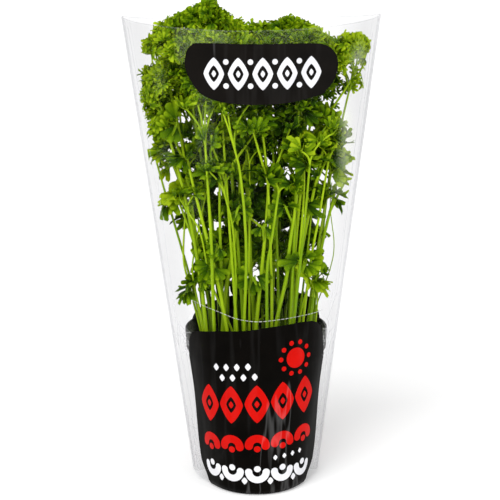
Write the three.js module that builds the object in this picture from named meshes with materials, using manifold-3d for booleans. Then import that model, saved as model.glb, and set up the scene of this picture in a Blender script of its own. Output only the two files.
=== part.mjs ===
// Curly parsley growing in a black nursery pot, inside a clear film sleeve that is open at the top.
// Millimetres, +Z up, with the front towards -Y and the origin in the middle of the pot's underside.
// The pieces are the pot, the growing medium, each leaf stalk together with its leaf, and the sleeve.
import * as THREE from "three";
import { mergeVertices } from "three/addons/utils/BufferGeometryUtils.js";
import Module from "manifold-3d";

const wasm = await Module();
wasm.setup();

// Pot
const POT_HEIGHT = 125;
const LIP_RADIUS = 55;
const LIP_FOOT_RADIUS = 54.3;
const LIP_BOTTOM = 109;
const LIP_WALL = 1.7;
const LIP_ROUNDING = 0.5;
const SHOULDER_RADIUS = 51.6;
const SHOULDER_HEIGHT = 108;
const BASE_RADIUS = 40;
const CHAMFER_HEIGHT = 5;
const FOOT_RADIUS = 37;
const FOOT_INNER_RADIUS = 28;
const FOOT_HEIGHT = 2.2;
const POT_WALL = 1.3;
const FLOOR_TOP = 3.6;
const POT_SEGMENTS = 32;
const DRAIN_COUNT = 6;
const DRAIN_RADIUS = 3.2;
const DRAIN_RING = 19;
const DRAIN_SIDES = 10;
const NOTCH_WIDTH = 9;

// Growing medium
const SOIL_TOP = 106;
const SOIL_DOME = 3;
const SOIL_BUMP = 1.3;
const SOIL_SEGMENTS = 28;
const SOIL_RINGS = [0.8, 0.55, 0.28, 0];
const SOIL_GAP = 0.45;

// Sleeve. Each section has two pointed corners, where the front and back films are welded together.
const FILM = 0.5;
const FILM_GAP = 1;
const SEAM_RATIO = 3;
const SEAM_MARGIN = 8;
const SLEEVE_BOTTOM = 0.8;
const SLEEVE_CORNER_LIFT = 7;
const SLEEVE_TOP = 364;
const SLEEVE_ROWS = [57, SHOULDER_HEIGHT, POT_HEIGHT + 1, 185, 245, 305];
const FRONT_DIP = 9;
const BACK_DIP = 5;
const HALF_WIDTH_AT_BASE = 47.8;
const FLARE = 0.1318;
const SHIFT_AT_BASE = 1.2;
const LEAN = 0.002;
const TOP_DEPTH = 50;
const BULGE_POWER = 0.6;
const BULGE_SHARE = 0.5;
const BULGE_FROM = POT_HEIGHT + 5;
const BULGE_TO = SLEEVE_TOP - 40;
const SLEEVE_COLUMNS = 16;

// Leaf stalks and the branches of their side sprays
const STALK_DEPTH = 15;
const STALK_RADIUS = 2;
const STALK_TIP_RADIUS = 1.25;
const STALK_SIDES = 5;
const STALK_STEPS = 4;
const STALK_REACH = 42.5;
const STALK_TRIES = 60;
const HOLE_GAP = 0.35;
const BRANCH_RADII = [1.15, 1.15, 0.9];
const BRANCH_SIDES = 4;
const HEAD_MARGIN = 9;

// Leaflets. Each is a fan with three cut lobes, waved out of its plane.
const BLADE = 0.8;
const LEAFLETS = 3;
const LEAFLET_REACH = 22;
const FLAT_LEAFLET_REACH = 20;
const LOBE_STEP = THREE.MathUtils.degToRad(36);
const LOBE_HALF = THREE.MathUtils.degToRad(9);
const LOBE_SLANT = 0.95;
const NOTCH_REACH = 0.5;
const SIDE_REACH = 0.88;
const CURLY_WAVE = 0.3;
const FLAT_WAVE = 0.08;
const CURL = 0.28;
const WEB = 1.7;
const LEAF_MARGIN = 1.6;

// Room. Leaflets are tried in several directions and then smaller, until one touches nothing.
const CLEARANCE = 0.3;
const TRIES = 40;
const TRIES_PER_SIZE = 10;
const SHRINK = 0.13;
const ROOT_OVERLAP = 6;
const CROSSING = 2;
const SMOOTHING = 0.1;

// The middles of the heads that show from the front, and how many side sprays each one bears
const FRONT_HEADS = [
  { x: -64, y: -6, z: 314, side: 2 },
  { x: -50, y: -14, z: 336, side: 2 },
  { x: -31, y: -12, z: 359, side: 2 },
  { x: -9, y: -22, z: 340, side: 2 },
  { x: 12, y: -20, z: 334, side: 1 },
  { x: 28, y: -10, z: 352, side: 2 },
  { x: 50, y: -12, z: 330, side: 2 },
  { x: 72, y: -4, z: 312, side: 0 },
  { x: -66, y: -14, z: 282, side: 1 },
  { x: -50, y: -24, z: 260, side: 0 },
  { x: -78, y: -1, z: 262, side: 0 },
  { x: -24, y: -32, z: 298, side: 2 },
  { x: 4, y: -34, z: 292, side: 2 },
  { x: 32, y: -31, z: 296, side: 1 },
  { x: 54, y: -20, z: 280, side: 2 },
  { x: 66, y: -8, z: 256, side: 1 },
  { x: 36, y: -33, z: 256, side: 0 },
  { x: -26, y: -30, z: 252, side: 1 },
  { x: 10, y: -28, z: 244, side: 1 },
  { x: 62, y: -10, z: 230, side: 0 },
];

// The heads behind them, in rows from one side to the other.
// drop is how far a head's middle lies below the crown's outline.
const HIDDEN_ROWS = [
  { y: 8, span: 42, count: 4, drop: 22, side: 2 },
  { y: 32, span: 50, count: 4, drop: 34, side: 2 },
  { y: 26, span: 58, count: 4, drop: 92, side: 1 },
];
const ROW_JITTER = { x: 5, y: 4, z: 6 };

// Flat young leaves low among the stalks: where each one's middle is
const YOUNG_LEAVES = [
  { x: -58, y: -14, z: 227 },
  { x: 38, y: -26, z: 172 },
  { x: -46, y: -16, z: 160 },
  { x: -2, y: -16, z: 180 },
  { x: -22, y: 6, z: 196 },
  { x: 20, y: 22, z: 210 },
  { x: -10, y: -8, z: 222 },
  { x: 38, y: 8, z: 204 },
  { x: -42, y: 18, z: 208 },
];

const SEED = 2319;

// A draw between 0 and 1 that depends only on its three whole numbers
function draw(a, b, c) {
  let h = Math.imul(a + 1, 73856093) ^ Math.imul(b + 1, 19349663) ^ Math.imul(c + 1, 83492791) ^ SEED;
  h = Math.imul(h ^ (h >>> 15), 2246822519);
  h = Math.imul(h ^ (h >>> 13), 3266489917);
  return ((h ^ (h >>> 16)) >>> 0) / 2 ** 32;
}

// A draw between -size and size
function spread(size, a, b, c) {
  return size * (2 * draw(a, b, c) - 1);
}

function mix(a, b, share) {
  return a + (b - a) * share;
}

function clamp(value, low, high) {
  return Math.min(Math.max(value, low), high);
}

function smooth(from, to, value) {
  const share = clamp((value - from) / (to - from), 0, 1);
  return share * share * (3 - 2 * share);
}

// A closed three.js geometry as a solid that can be joined and cut
function solidOf(geometry) {
  const bare = new THREE.BufferGeometry().setAttribute("position", geometry.getAttribute("position"));
  bare.setIndex(geometry.index);
  const merged = mergeVertices(bare, 1e-4);
  const mesh = new wasm.Mesh({
    numProp: 3,
    vertProperties: new Float32Array(merged.attributes.position.array),
    triVerts: new Uint32Array(merged.index.array),
  });
  return new wasm.Manifold(mesh);
}

function geometryOf(solid) {
  const mesh = solid.getMesh();
  const geometry = new THREE.BufferGeometry();
  geometry.setAttribute("position", new THREE.BufferAttribute(new Float32Array(mesh.vertProperties), 3));
  geometry.setIndex(new THREE.BufferAttribute(new Uint32Array(mesh.triVerts), 1));
  geometry.computeVertexNormals();
  return geometry;
}

function solidFromTriangles(points, triangles) {
  const geometry = new THREE.BufferGeometry().setFromPoints(points);
  geometry.setIndex(triangles.flat());
  return solidOf(geometry);
}

// A shape turned about Z from its outline of radius and height, from the axis out, up and back in
function turned(outline, segments) {
  const points = outline.map(([radius, height]) => new THREE.Vector2(radius, height));
  return new THREE.LatheGeometry(points, segments).rotateX(Math.PI / 2);
}

// The radius of the outside of the pot's wall at a height
function potRadius(z) {
  return mix(BASE_RADIUS, SHOULDER_RADIUS, (z - CHAMFER_HEIGHT) / (SHOULDER_HEIGHT - CHAMFER_HEIGHT));
}

// The pot stands on a ring, which is notched where water runs out from under the drain holes.
function potSolid() {
  const body = solidOf(turned([
    [0, FOOT_HEIGHT],
    [FOOT_INNER_RADIUS - 1.5, FOOT_HEIGHT],
    [FOOT_INNER_RADIUS, 0],
    [FOOT_RADIUS, 0],
    [BASE_RADIUS, CHAMFER_HEIGHT],
    [SHOULDER_RADIUS, SHOULDER_HEIGHT],
    [LIP_FOOT_RADIUS, LIP_BOTTOM],
    [LIP_RADIUS, POT_HEIGHT - 1],
    [LIP_RADIUS - LIP_ROUNDING, POT_HEIGHT],
    [LIP_RADIUS - LIP_WALL, POT_HEIGHT],
    [LIP_FOOT_RADIUS - LIP_WALL, LIP_BOTTOM + 1.5],
    [SHOULDER_RADIUS - POT_WALL, SHOULDER_HEIGHT],
    [potRadius(FLOOR_TOP) - POT_WALL, FLOOR_TOP],
    [0, FLOOR_TOP],
  ], POT_SEGMENTS));
  const cuts = [];
  for (let k = 0; k < DRAIN_COUNT; k++) {
    const angle = (k + 0.5) * 2 * Math.PI / DRAIN_COUNT;
    const drain = new THREE.CylinderGeometry(DRAIN_RADIUS, DRAIN_RADIUS, 20, DRAIN_SIDES);
    drain.rotateX(Math.PI / 2).translate(DRAIN_RING * Math.cos(angle), DRAIN_RING * Math.sin(angle), 0);
    const notch = new THREE.BoxGeometry(2 * BASE_RADIUS, NOTCH_WIDTH, 2 * FOOT_HEIGHT);
    notch.translate(BASE_RADIUS + DRAIN_RING, 0, 0).rotateZ(angle);
    cuts.push(solidOf(drain), solidOf(notch));
  }
  return body.subtract(wasm.Manifold.union(cuts));
}

// The medium fills the pot to below its lip, and each stalk stands in a plain hole in it.
function mediumSolid(holes) {
  const low = FLOOR_TOP + SOIL_GAP;
  const side = (z) => potRadius(z) - POT_WALL - SOIL_GAP;
  const outline = [[0, low], [side(low) - SOIL_GAP, low], [side(SOIL_TOP), SOIL_TOP]];
  for (const share of SOIL_RINGS) {
    outline.push([share * side(SOIL_TOP), SOIL_TOP + SOIL_DOME * (1 - share * share)]);
  }
  const geometry = turned(outline, SOIL_SEGMENTS);
  const place = geometry.getAttribute("position");
  for (let i = 0; i < place.count; i++) {
    const x = place.getX(i);
    const y = place.getY(i);
    const z = place.getZ(i);
    const bump = Math.sin(0.31 * x + 1.3) * Math.cos(0.27 * y) + 0.6 * Math.sin(0.53 * y + 0.4 * x);
    if (z > SOIL_TOP + 0.1) place.setZ(i, z + SOIL_BUMP * bump);
  }
  return solidOf(geometry).subtract(wasm.Manifold.union(holes));
}

// The radius of the round part of the sleeve's section at a height, which follows the pot and its lip
function sleeveRound(z) {
  const stops = [
    [SLEEVE_BOTTOM, FOOT_RADIUS + 0.5 + FILM_GAP],
    [CHAMFER_HEIGHT, BASE_RADIUS + FILM_GAP],
    [SHOULDER_HEIGHT, LIP_FOOT_RADIUS + FILM_GAP],
    [POT_HEIGHT, LIP_RADIUS + FILM_GAP],
    [SLEEVE_TOP, TOP_DEPTH],
  ];
  let at = 1;
  while (at < stops.length - 1 && z > stops[at][0]) at++;
  const [[z0, r0], [z1, r1]] = [stops[at - 1], stops[at]];
  return mix(r0, r1, clamp((z - z0) / (z1 - z0), 0, 1));
}

// How far the sleeve reaches to the left or right of the pot's axis. The pot stands a little to the right.
function sleeveReach(side, z) {
  const height = Math.min(z, SLEEVE_TOP);
  return HALF_WIDTH_AT_BASE + FLARE * height - Math.sign(side) * (SHIFT_AT_BASE + LEAN * height);
}

// Half the sleeve's depth at x, for a section grown outwards by grow.
// Round the pot it is a circle with two taut films that meet at the corners. Above, it bulges to a lens.
function sleeveHalfDepth(x, z, grow) {
  const width = sleeveReach(x, z) + SEAM_RATIO * grow;
  const radius = sleeveRound(z) + grow;
  const out = Math.min(Math.abs(x), width);
  const cosine = radius / width;
  const sine = Math.sqrt(1 - cosine * cosine);
  const round = out < radius * cosine;
  const taut = round ? Math.sqrt(radius * radius - out * out) : (width - out) * cosine / sine;
  const lens = radius * Math.pow(1 - (out / width) ** 2, BULGE_POWER);
  return mix(taut, lens, BULGE_SHARE * smooth(BULGE_FROM, BULGE_TO, z));
}

// A point moved to inside the film, at least margin from it, as on a leaf that the film presses
function pressed(point, margin) {
  const limit = sleeveReach(point.x, point.z) - SEAM_MARGIN;
  const x = clamp(point.x, -limit, limit);
  const depth = Math.max(sleeveHalfDepth(x, point.z, 0) - margin, 1);
  return new THREE.Vector3(x, clamp(point.y, -depth, depth), point.z);
}

// The heights of the sleeve's rows of points, at a share of the way from one corner to the other
function sleeveHeights(share, front) {
  const sine = Math.sin(Math.PI * share);
  const bottom = SLEEVE_BOTTOM + SLEEVE_CORNER_LIFT * (1 - sine) ** 2;
  const top = SLEEVE_TOP - (front ? FRONT_DIP : BACK_DIP) * sine;
  return [bottom, bottom + CHAMFER_HEIGHT, ...SLEEVE_ROWS, top];
}

// One point of the sleeve: grow is 0 on its inside and the film's thickness on its outside
function sleevePoint(k, row, grow) {
  const front = k < SLEEVE_COLUMNS;
  const share = (k % SLEEVE_COLUMNS) / SLEEVE_COLUMNS;
  const z = sleeveHeights(share, front)[row];
  const across = (front ? -1 : 1) * Math.cos(Math.PI * share);
  const x = across * (sleeveReach(across, z) + SEAM_RATIO * grow);
  const depth = share === 0 ? 0 : sleeveHalfDepth(x, z, grow);
  return new THREE.Vector3(x, front ? -depth : depth, z);
}

function sleeveSolid() {
  const around = 2 * SLEEVE_COLUMNS;
  const rows = SLEEVE_ROWS.length + 3;
  const points = [];
  for (const grow of [FILM, 0]) {
    for (let row = 0; row < rows; row++) {
      for (let k = 0; k < around; k++) points.push(sleevePoint(k, row, grow));
    }
  }
  const at = (shell, row, k) => (shell * rows + row) * around + (k % around);
  const triangles = [];
  const quad = (a, b, c, d) => triangles.push([a, b, c], [a, c, d]);
  for (let k = 0; k < around; k++) {
    for (let row = 0; row < rows - 1; row++) {
      quad(at(0, row, k), at(0, row, k + 1), at(0, row + 1, k + 1), at(0, row + 1, k));
      quad(at(1, row, k), at(1, row + 1, k), at(1, row + 1, k + 1), at(1, row, k + 1));
    }
    quad(at(0, rows - 1, k), at(0, rows - 1, k + 1), at(1, rows - 1, k + 1), at(1, rows - 1, k));
    quad(at(0, 0, k), at(1, 0, k), at(1, 0, k + 1), at(0, 0, k + 1));
  }
  return solidFromTriangles(points, triangles);
}

// A tapered tube with flat ends, through a list of points with a radius at each
function tube(points, radii, sides) {
  const first = points[1].clone().sub(points[0]).normalize();
  const reference = Math.abs(first.x) < 0.8 ? new THREE.Vector3(1, 0, 0) : new THREE.Vector3(0, 1, 0);
  const rings = [];
  points.forEach((point, i) => {
    const before = points[Math.max(i - 1, 0)];
    const after = points[Math.min(i + 1, points.length - 1)];
    const along = after.clone().sub(before).normalize();
    const side = reference.clone().cross(along).normalize();
    const up = along.clone().cross(side);
    for (let k = 0; k < sides; k++) {
      const angle = 2 * Math.PI * k / sides;
      const out = side.clone().multiplyScalar(Math.cos(angle)).addScaledVector(up, Math.sin(angle));
      rings.push(point.clone().addScaledVector(out, radii[i]));
    }
  });
  const triangles = [];
  const last = (points.length - 1) * sides;
  for (let k = 0; k < sides; k++) {
    const next = (k + 1) % sides;
    for (let ring = 0; ring < last; ring += sides) {
      triangles.push([ring + k, ring + next, ring + sides + next]);
      triangles.push([ring + k, ring + sides + next, ring + sides + k]);
    }
    if (k > 0 && k < sides - 1) triangles.push([0, k + 1, k], [last, last + k, last + k + 1]);
  }
  return solidFromTriangles(rings, triangles);
}

// How high the crown reaches at x: a low arch with a hump on each side of the middle
function crownTop(x) {
  const left = 14 * Math.exp(-(((x + 31) / 15) ** 2));
  const right = 7 * Math.exp(-(((x - 24) / 15) ** 2));
  return 358 + left + right - 0.0035 * x * x;
}

// Every leaf's plan: its name, the middle of its head, and how many side sprays it has
function leafPlans() {
  const heads = [...FRONT_HEADS];
  HIDDEN_ROWS.forEach((row, r) => {
    for (let k = 0; k < row.count; k++) {
      const x = mix(-row.span, row.span, k / (row.count - 1)) + spread(ROW_JITTER.x, r, k, 0);
      const y = row.y + spread(ROW_JITTER.y, r, k, 1);
      const z = crownTop(x) - row.drop + spread(ROW_JITTER.z, r, k, 2);
      heads.push({ x, y, z, side: row.side });
    }
  });
  const plan = (head, k, kind, side) => ({
    name: `${kind}_${String(k + 1).padStart(2, "0")}`,
    head: new THREE.Vector3(head.x, head.y, head.z),
    side,
    flat: kind === "young_leaf",
  });
  const fronds = heads.map((head, k) => plan(head, k, "frond", head.side));
  const young = YOUNG_LEAVES.map((head, k) => plan(head, k, "young_leaf", 0));
  return [...fronds, ...young];
}

// The path of a stalk, from below the medium's surface to the middle of its head, for one try.
// Later tries end farther from the planned middle.
function stalkCurve(i, planned, attempt) {
  const key = 20 * attempt;
  const stray = Math.min(attempt, 20) * 0.5;
  const head = pressed(new THREE.Vector3(
    planned.x + spread(stray, i, 50, key + 6),
    planned.y + spread(stray, i, 50, key + 7),
    planned.z + spread(stray, i, 50, key + 8),
  ), HEAD_MARGIN);
  const foot = new THREE.Vector3(
    0.56 * head.x + spread(11, i, 50, key),
    1.15 * head.y + spread(11, i, 50, key + 1),
    SOIL_TOP - STALK_DEPTH,
  );
  const reach = Math.hypot(foot.x, foot.y);
  const pull = Math.min(STALK_REACH / reach, 1);
  foot.x *= pull;
  foot.y *= pull;
  const rise = head.z - foot.z;
  const low = new THREE.Vector3(
    mix(foot.x, head.x, 0.12) + spread(5, i, 50, key + 2),
    mix(foot.y, head.y, 0.12) + spread(3, i, 50, key + 3),
    foot.z + 0.38 * rise,
  );
  const high = new THREE.Vector3(
    mix(foot.x, head.x, 0.62) + spread(6, i, 50, key + 4),
    mix(foot.y, head.y, 0.62) + spread(4, i, 50, key + 5),
    foot.z + 0.72 * rise,
  );
  return new THREE.CubicBezierCurve3(foot, low, high, head);
}

// The path of a side spray's branch from where it leaves the stalk, for one try
function branchCurve(i, side, stalk, attempt) {
  const key = 20 * attempt;
  const channel = 60 + side;
  const fork = stalk.getPoint(0.74 - 0.04 * side + spread(0.02, i, channel, key));
  const head = stalk.getPoint(1);
  const angle = Math.PI * (side + 2 * draw(i, 70, 0)) + spread(0.9, i, channel, key + 1);
  const away = mix(20, 27, draw(i, channel, key + 2));
  const end = pressed(new THREE.Vector3(
    head.x + away * Math.cos(angle),
    head.y + 0.85 * away * Math.sin(angle),
    head.z - mix(8, 26, draw(i, channel, key + 3)),
  ), HEAD_MARGIN);
  const bend = new THREE.Vector3(
    mix(fork.x, end.x, 0.68),
    mix(fork.y, end.y, 0.68),
    mix(fork.z, end.z, 0.5) + 6,
  );
  return new THREE.QuadraticBezierCurve3(fork, bend, end);
}

// How one leaflet grows, for one try: its root, the way it points, the way it spreads and its size.
// The leaflets of a spray are turned evenly round its axis, and later tries are smaller.
function leafletFrame(i, spray, k, curve, flat, attempt) {
  const key = 20 * attempt;
  const channel = 100 + 10 * spray + k;
  const tip = curve.getPoint(1);
  const axis = tip.clone().sub(curve.getPoint(0.94)).normalize();
  axis.addScaledVector(new THREE.Vector3(tip.x, tip.y, 40).normalize(), 0.5).normalize();
  const reference = new THREE.Vector3(0, 1, 0).cross(axis).normalize();
  const other = axis.clone().cross(reference);
  const turn = 2 * Math.PI * ((k + spread(0.07, i, channel, key)) / LEAFLETS + draw(i, 90 + spray, 0));
  const tilt = (flat ? 1.1 : 0.9) + spread(0.22, i, channel, key + 1);
  const roll = spread(flat ? 0.2 : 0.5, i, channel, key + 2);
  const radial = reference.multiplyScalar(Math.cos(turn)).addScaledVector(other, Math.sin(turn));
  const along = axis.clone().multiplyScalar(Math.cos(tilt)).addScaledVector(radial, Math.sin(tilt));
  const level = axis.clone().cross(radial).normalize();
  const face = level.clone().cross(along).normalize();
  const across = level.multiplyScalar(Math.cos(roll)).addScaledVector(face, Math.sin(roll));
  const full = (flat ? FLAT_LEAFLET_REACH : LEAFLET_REACH) * mix(0.88, 1.08, draw(i, channel, 5));
  const size = full * (1 - SHRINK * Math.floor(attempt / TRIES_PER_SIZE));
  return { root: tip.addScaledVector(axis, -0.3), axis, radial, along, across, size, flat };
}

// A point of a leaflet's middle surface, at an angle from its midrib and a share of its reach
function leafletPoint({ root, along, across, size, flat }, angle, share) {
  const normal = along.clone().cross(across);
  const wave = (flat ? FLAT_WAVE : CURLY_WAVE) * Math.cos(2 * Math.PI * angle / LOBE_STEP);
  const point = root.clone().addScaledVector(along, size * share * Math.cos(angle));
  point.addScaledVector(across, size * share * Math.sin(angle));
  point.addScaledVector(normal, size * share * share * (wave - CURL));
  return pressed(point, LEAF_MARGIN);
}

// A leaflet's edge, lobe after lobe with a notch between, as angle and share of its reach
function leafletEdge() {
  const edge = [];
  for (let lobe = -1; lobe <= 1; lobe++) {
    const share = lobe === 0 ? 1 : SIDE_REACH;
    edge.push([lobe * LOBE_STEP - LOBE_HALF, share], [lobe * LOBE_STEP + LOBE_HALF, LOBE_SLANT * share]);
    if (lobe < 1) edge.push([(lobe + 0.5) * LOBE_STEP, NOTCH_REACH]);
  }
  return edge;
}

// A plate of even thickness, fanned from its middle point out to its rim, alike on both faces
function plateSolid(middle, rim) {
  const count = rim.length;
  const facing = rim.map((point, k) => {
    const next = rim[(k + 1) % count].clone().sub(middle);
    return point.clone().sub(middle).cross(next);
  });
  const total = facing.reduce((sum, normal) => sum.add(normal), new THREE.Vector3());
  const normals = rim.map((_, k) => facing[k].clone().add(facing[(k + count - 1) % count]));
  const points = [...rim, middle];
  const offsets = [...normals, total].map((normal) => normal.normalize().multiplyScalar(BLADE / 2));
  const upper = points.map((point, k) => point.clone().add(offsets[k]));
  const lower = points.map((point, k) => point.clone().sub(offsets[k]));
  const under = count + 1;
  const triangles = [];
  for (let k = 0; k < count; k++) {
    const next = (k + 1) % count;
    triangles.push([k, under + k, next], [next, under + k, under + next]);
    triangles.push([count, k, next], [under + count, under + next, under + k]);
  }
  return solidFromTriangles([...upper, ...lower], triangles);
}

// The leaflets of one spray as a single star-shaped plate, joined by a narrow web round their roots
function spraySolid(frames) {
  const { root, axis } = frames[0];
  const webTurn = frames.length === 1 ? Math.PI : Math.PI / LEAFLETS;
  const rim = [];
  frames.forEach((frame) => {
    for (const [angle, share] of leafletEdge()) rim.push(leafletPoint(frame, angle, share));
    const web = frame.radial.clone().applyAxisAngle(axis, webTurn);
    rim.push(root.clone().addScaledVector(web, WEB));
  });
  return plateSolid(root, rim);
}

// The solids that stand already, each with its leaf, its spray and its box
const standing = [];

function stand(leaf, spray, solid) {
  standing.push({ leaf, spray, solid, box: solid.boundingBox() });
}

function boxesApart(a, b, gap) {
  return [0, 1, 2].some((axis) => a.min[axis] > b.max[axis] + gap || b.min[axis] > a.max[axis] + gap);
}

// Whether a solid keeps its distance from the sleeve and from every other leaf
function clearOfOthers(leaf, solid) {
  const box = solid.boundingBox();
  return standing.every((other) => other.leaf === leaf || boxesApart(box, other.box, CLEARANCE)
    || solid.minGap(other.solid, 2 * CLEARANCE) > CLEARANCE);
}

// Whether a leaflet crosses more of its own leaf than the roots of its spray
function crossesOwn(leaf, spray, solid) {
  const box = solid.boundingBox();
  return standing.some((other) => other.leaf === leaf && !boxesApart(box, other.box, 0)
    && solid.intersect(other.solid).volume() > (other.spray === spray ? ROOT_OVERLAP : CROSSING));
}

function growStalk(leaf) {
  const slim = mix(0.72, 1.1, draw(leaf.index, 40, 0)) * (leaf.flat ? 0.75 : 1);
  for (let attempt = 0; attempt < STALK_TRIES; attempt++) {
    const curve = stalkCurve(leaf.index, leaf.head, attempt);
    const points = curve.getPoints(STALK_STEPS);
    const radii = points.map((_, k) => slim * mix(STALK_RADIUS, STALK_TIP_RADIUS, k / STALK_STEPS));
    const solid = tube(points, radii, STALK_SIDES);
    const below = points[0].clone().lerp(points[1], -0.01);
    const bore = [below, points[1], points[2]];
    const hole = tube(bore, bore.map(() => radii[0] + HOLE_GAP), STALK_SIDES);
    if (!clearOfOthers(leaf, solid.add(hole))) continue;
    stand(leaf, 0, solid);
    leaf.curves.push(curve);
    leaf.solids.push(solid);
    leaf.hole = hole;
    return;
  }
}

function growBranch(leaf, side) {
  for (let attempt = 0; attempt < TRIES; attempt++) {
    const curve = branchCurve(leaf.index, side, leaf.curves[0], attempt);
    const solid = tube(curve.getPoints(BRANCH_RADII.length - 1), BRANCH_RADII, BRANCH_SIDES);
    if (!clearOfOthers(leaf, solid)) continue;
    stand(leaf, side + 1, solid);
    leaf.curves.push(curve);
    leaf.solids.push(solid);
    return;
  }
}

function growLeaflet(leaf, spray, k) {
  for (let attempt = 0; attempt < TRIES; attempt++) {
    const frame = leafletFrame(leaf.index, spray, k, leaf.curves[spray], leaf.flat, attempt);
    const solid = spraySolid([frame]);
    if (!clearOfOthers(leaf, solid) || crossesOwn(leaf, spray, solid)) continue;
    stand(leaf, spray, solid);
    leaf.sprays[spray].push(frame);
    return;
  }
}

function joinSpray(leaf, spray) {
  const frames = leaf.sprays[spray];
  while (frames.length > 0 && !clearOfOthers(leaf, spraySolid(frames))) frames.pop();
  if (frames.length === 0) return;
  const solid = spraySolid(frames);
  stand(leaf, spray, solid);
  leaf.solids.push(solid);
}

// All stalks first, then all branches, then the leaflets one by one round the sprays.
// Leaves with a single spray choose their room before the others.
function grow(plans) {
  const leaves = plans.map((plan, index) => ({ ...plan, index, curves: [], solids: [], sprays: [] }));
  leaves.forEach(growStalk);
  leaves.forEach((leaf) => {
    for (let side = 0; side < leaf.side; side++) growBranch(leaf, side);
    leaf.sprays = leaf.curves.map(() => []);
  });
  for (const group of [leaves.filter((leaf) => leaf.side === 0), leaves.filter((leaf) => leaf.side > 0)]) {
    for (let k = 0; k < LEAFLETS; k++) {
      group.forEach((leaf) => leaf.sprays.forEach((_, spray) => growLeaflet(leaf, spray, k)));
    }
  }
  leaves.forEach((leaf) => leaf.sprays.forEach((_, spray) => joinSpray(leaf, spray)));
  return leaves;
}

// Materials
const plastic = new THREE.MeshStandardMaterial({ color: 0x141414, roughness: 0.55, metalness: 0 });
const compost = new THREE.MeshStandardMaterial({ color: 0x2e2119, roughness: 1, metalness: 0 });
const green = new THREE.MeshStandardMaterial({ color: 0x3f7d12, roughness: 0.6, metalness: 0 });
const paleGreen = new THREE.MeshStandardMaterial({ color: 0x5c9c1c, roughness: 0.55, metalness: 0 });
const film = new THREE.MeshStandardMaterial({ color: 0xf2f4f5, roughness: 0.12, metalness: 0 });
film.transparent = true;
film.opacity = 0.2;

const group = new THREE.Group();

// Scraps and sealed pinholes, which joining can leave behind, are dropped.
function addPiece(name, solid, material) {
  const bodies = solid.asOriginal().simplify(SMOOTHING).decompose();
  const largest = bodies.sort((a, b) => b.volume() - a.volume())[0];
  const mesh = new THREE.Mesh(geometryOf(largest), material);
  mesh.name = name;
  group.add(mesh);
}

const sleeve = sleeveSolid();
stand(null, 0, sleeve);
const leaves = grow(leafPlans());
addPiece("pot", potSolid(), plastic);
addPiece("growing_medium", mediumSolid(leaves.map((leaf) => leaf.hole)), compost);
for (const leaf of leaves) {
  addPiece(leaf.name, wasm.Manifold.union(leaf.solids), leaf.flat ? paleGreen : green);
}
addPiece("sleeve", sleeve, film);

export default group;
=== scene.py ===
# Curly parsley in a black nursery pot, inside a clear printed film sleeve.
# Lengths are in millimetres until a mesh is made, which is in metres. +Z is up and the front is towards -Y.
import math

import bmesh
import bpy
import numpy as np
from mathutils import Matrix, Vector


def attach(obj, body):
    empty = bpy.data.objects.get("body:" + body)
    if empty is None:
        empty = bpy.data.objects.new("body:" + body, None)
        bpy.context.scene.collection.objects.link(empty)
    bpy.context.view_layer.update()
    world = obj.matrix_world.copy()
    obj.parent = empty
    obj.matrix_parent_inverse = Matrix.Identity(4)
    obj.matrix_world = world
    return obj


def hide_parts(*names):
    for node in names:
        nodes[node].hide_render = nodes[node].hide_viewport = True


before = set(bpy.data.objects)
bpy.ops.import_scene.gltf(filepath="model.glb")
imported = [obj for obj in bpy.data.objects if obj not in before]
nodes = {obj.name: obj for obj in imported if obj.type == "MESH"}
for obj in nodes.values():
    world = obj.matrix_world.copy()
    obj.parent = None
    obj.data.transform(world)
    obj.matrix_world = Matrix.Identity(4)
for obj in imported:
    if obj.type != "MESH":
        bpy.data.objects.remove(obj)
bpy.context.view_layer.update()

MM = 0.001
SEED = 2319

# Sleeve
FILM_GAP = 1
SEAM_RATIO = 3
SEAM_MARGIN = 8
SLEEVE_BOTTOM = 0.8
SLEEVE_CORNER_LIFT = 7
SLEEVE_TOP = 364
FRONT_DIP = 9
BACK_DIP = 5
HALF_WIDTH_AT_BASE = 47.8
FLARE = 0.1318
SHIFT_AT_BASE = 1.2
LEAN = 0.002
TOP_DEPTH = 50
BULGE_POWER = 0.6
BULGE_SHARE = 0.5
BULGE_START = 130
BULGE_END = 324

# Pot and growing medium
POT_HEIGHT = 125
LIP_RADIUS = 55
LIP_FOOT_RADIUS = 54.3
SHOULDER_HEIGHT = 108
BASE_RADIUS = 40
CHAMFER_HEIGHT = 5
FOOT_RADIUS = 37
FOOT_EASE = 0.5
SOIL_TOP = 106
SOIL_DOME = 3

# How often the solids' layout tries to place a stalk, or a branch or leaflet, and the draws of one try
STALK_TRIES = 60
TRIES = 40
KEYS_PER_TRY = 20

# Leaf stalks, as they are in the solids. Each bend has its share of the way to the head, its share of the
# rise, and how far it strays along x and y.
STALK_DEPTH = 15
STALK_REACH = 42.5
STALK_CHANNEL = 50
HEAD_KEY = 6
HEAD_MARGIN = 9
HEAD_STRAY = 0.5
MOST_STRAYS = 20
FOOT_SHARES = (0.56, 1.15)
FOOT_STRAY = 11
STALK_BENDS = [(0.12, 0.38, (5, 3)), (0.62, 0.72, (6, 4))]

# Their side branches
BRANCH_CHANNEL = 60
BRANCH_TURN_CHANNEL = 70
FORK_SHARE = 0.74
FORK_STEP = 0.04
FORK_STRAY = 0.02
BRANCH_TURN = 0.9
BRANCH_LENGTHS = (20, 27)
BRANCH_FLATNESS = 0.85
BRANCH_DROPS = (8, 26)
BRANCH_BEND = (0.68, 0.68, 0.5)
BRANCH_BEND_LIFT = 6
BRANCH_RADIUS = 1.15
NEAR_END = 0.94

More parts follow.
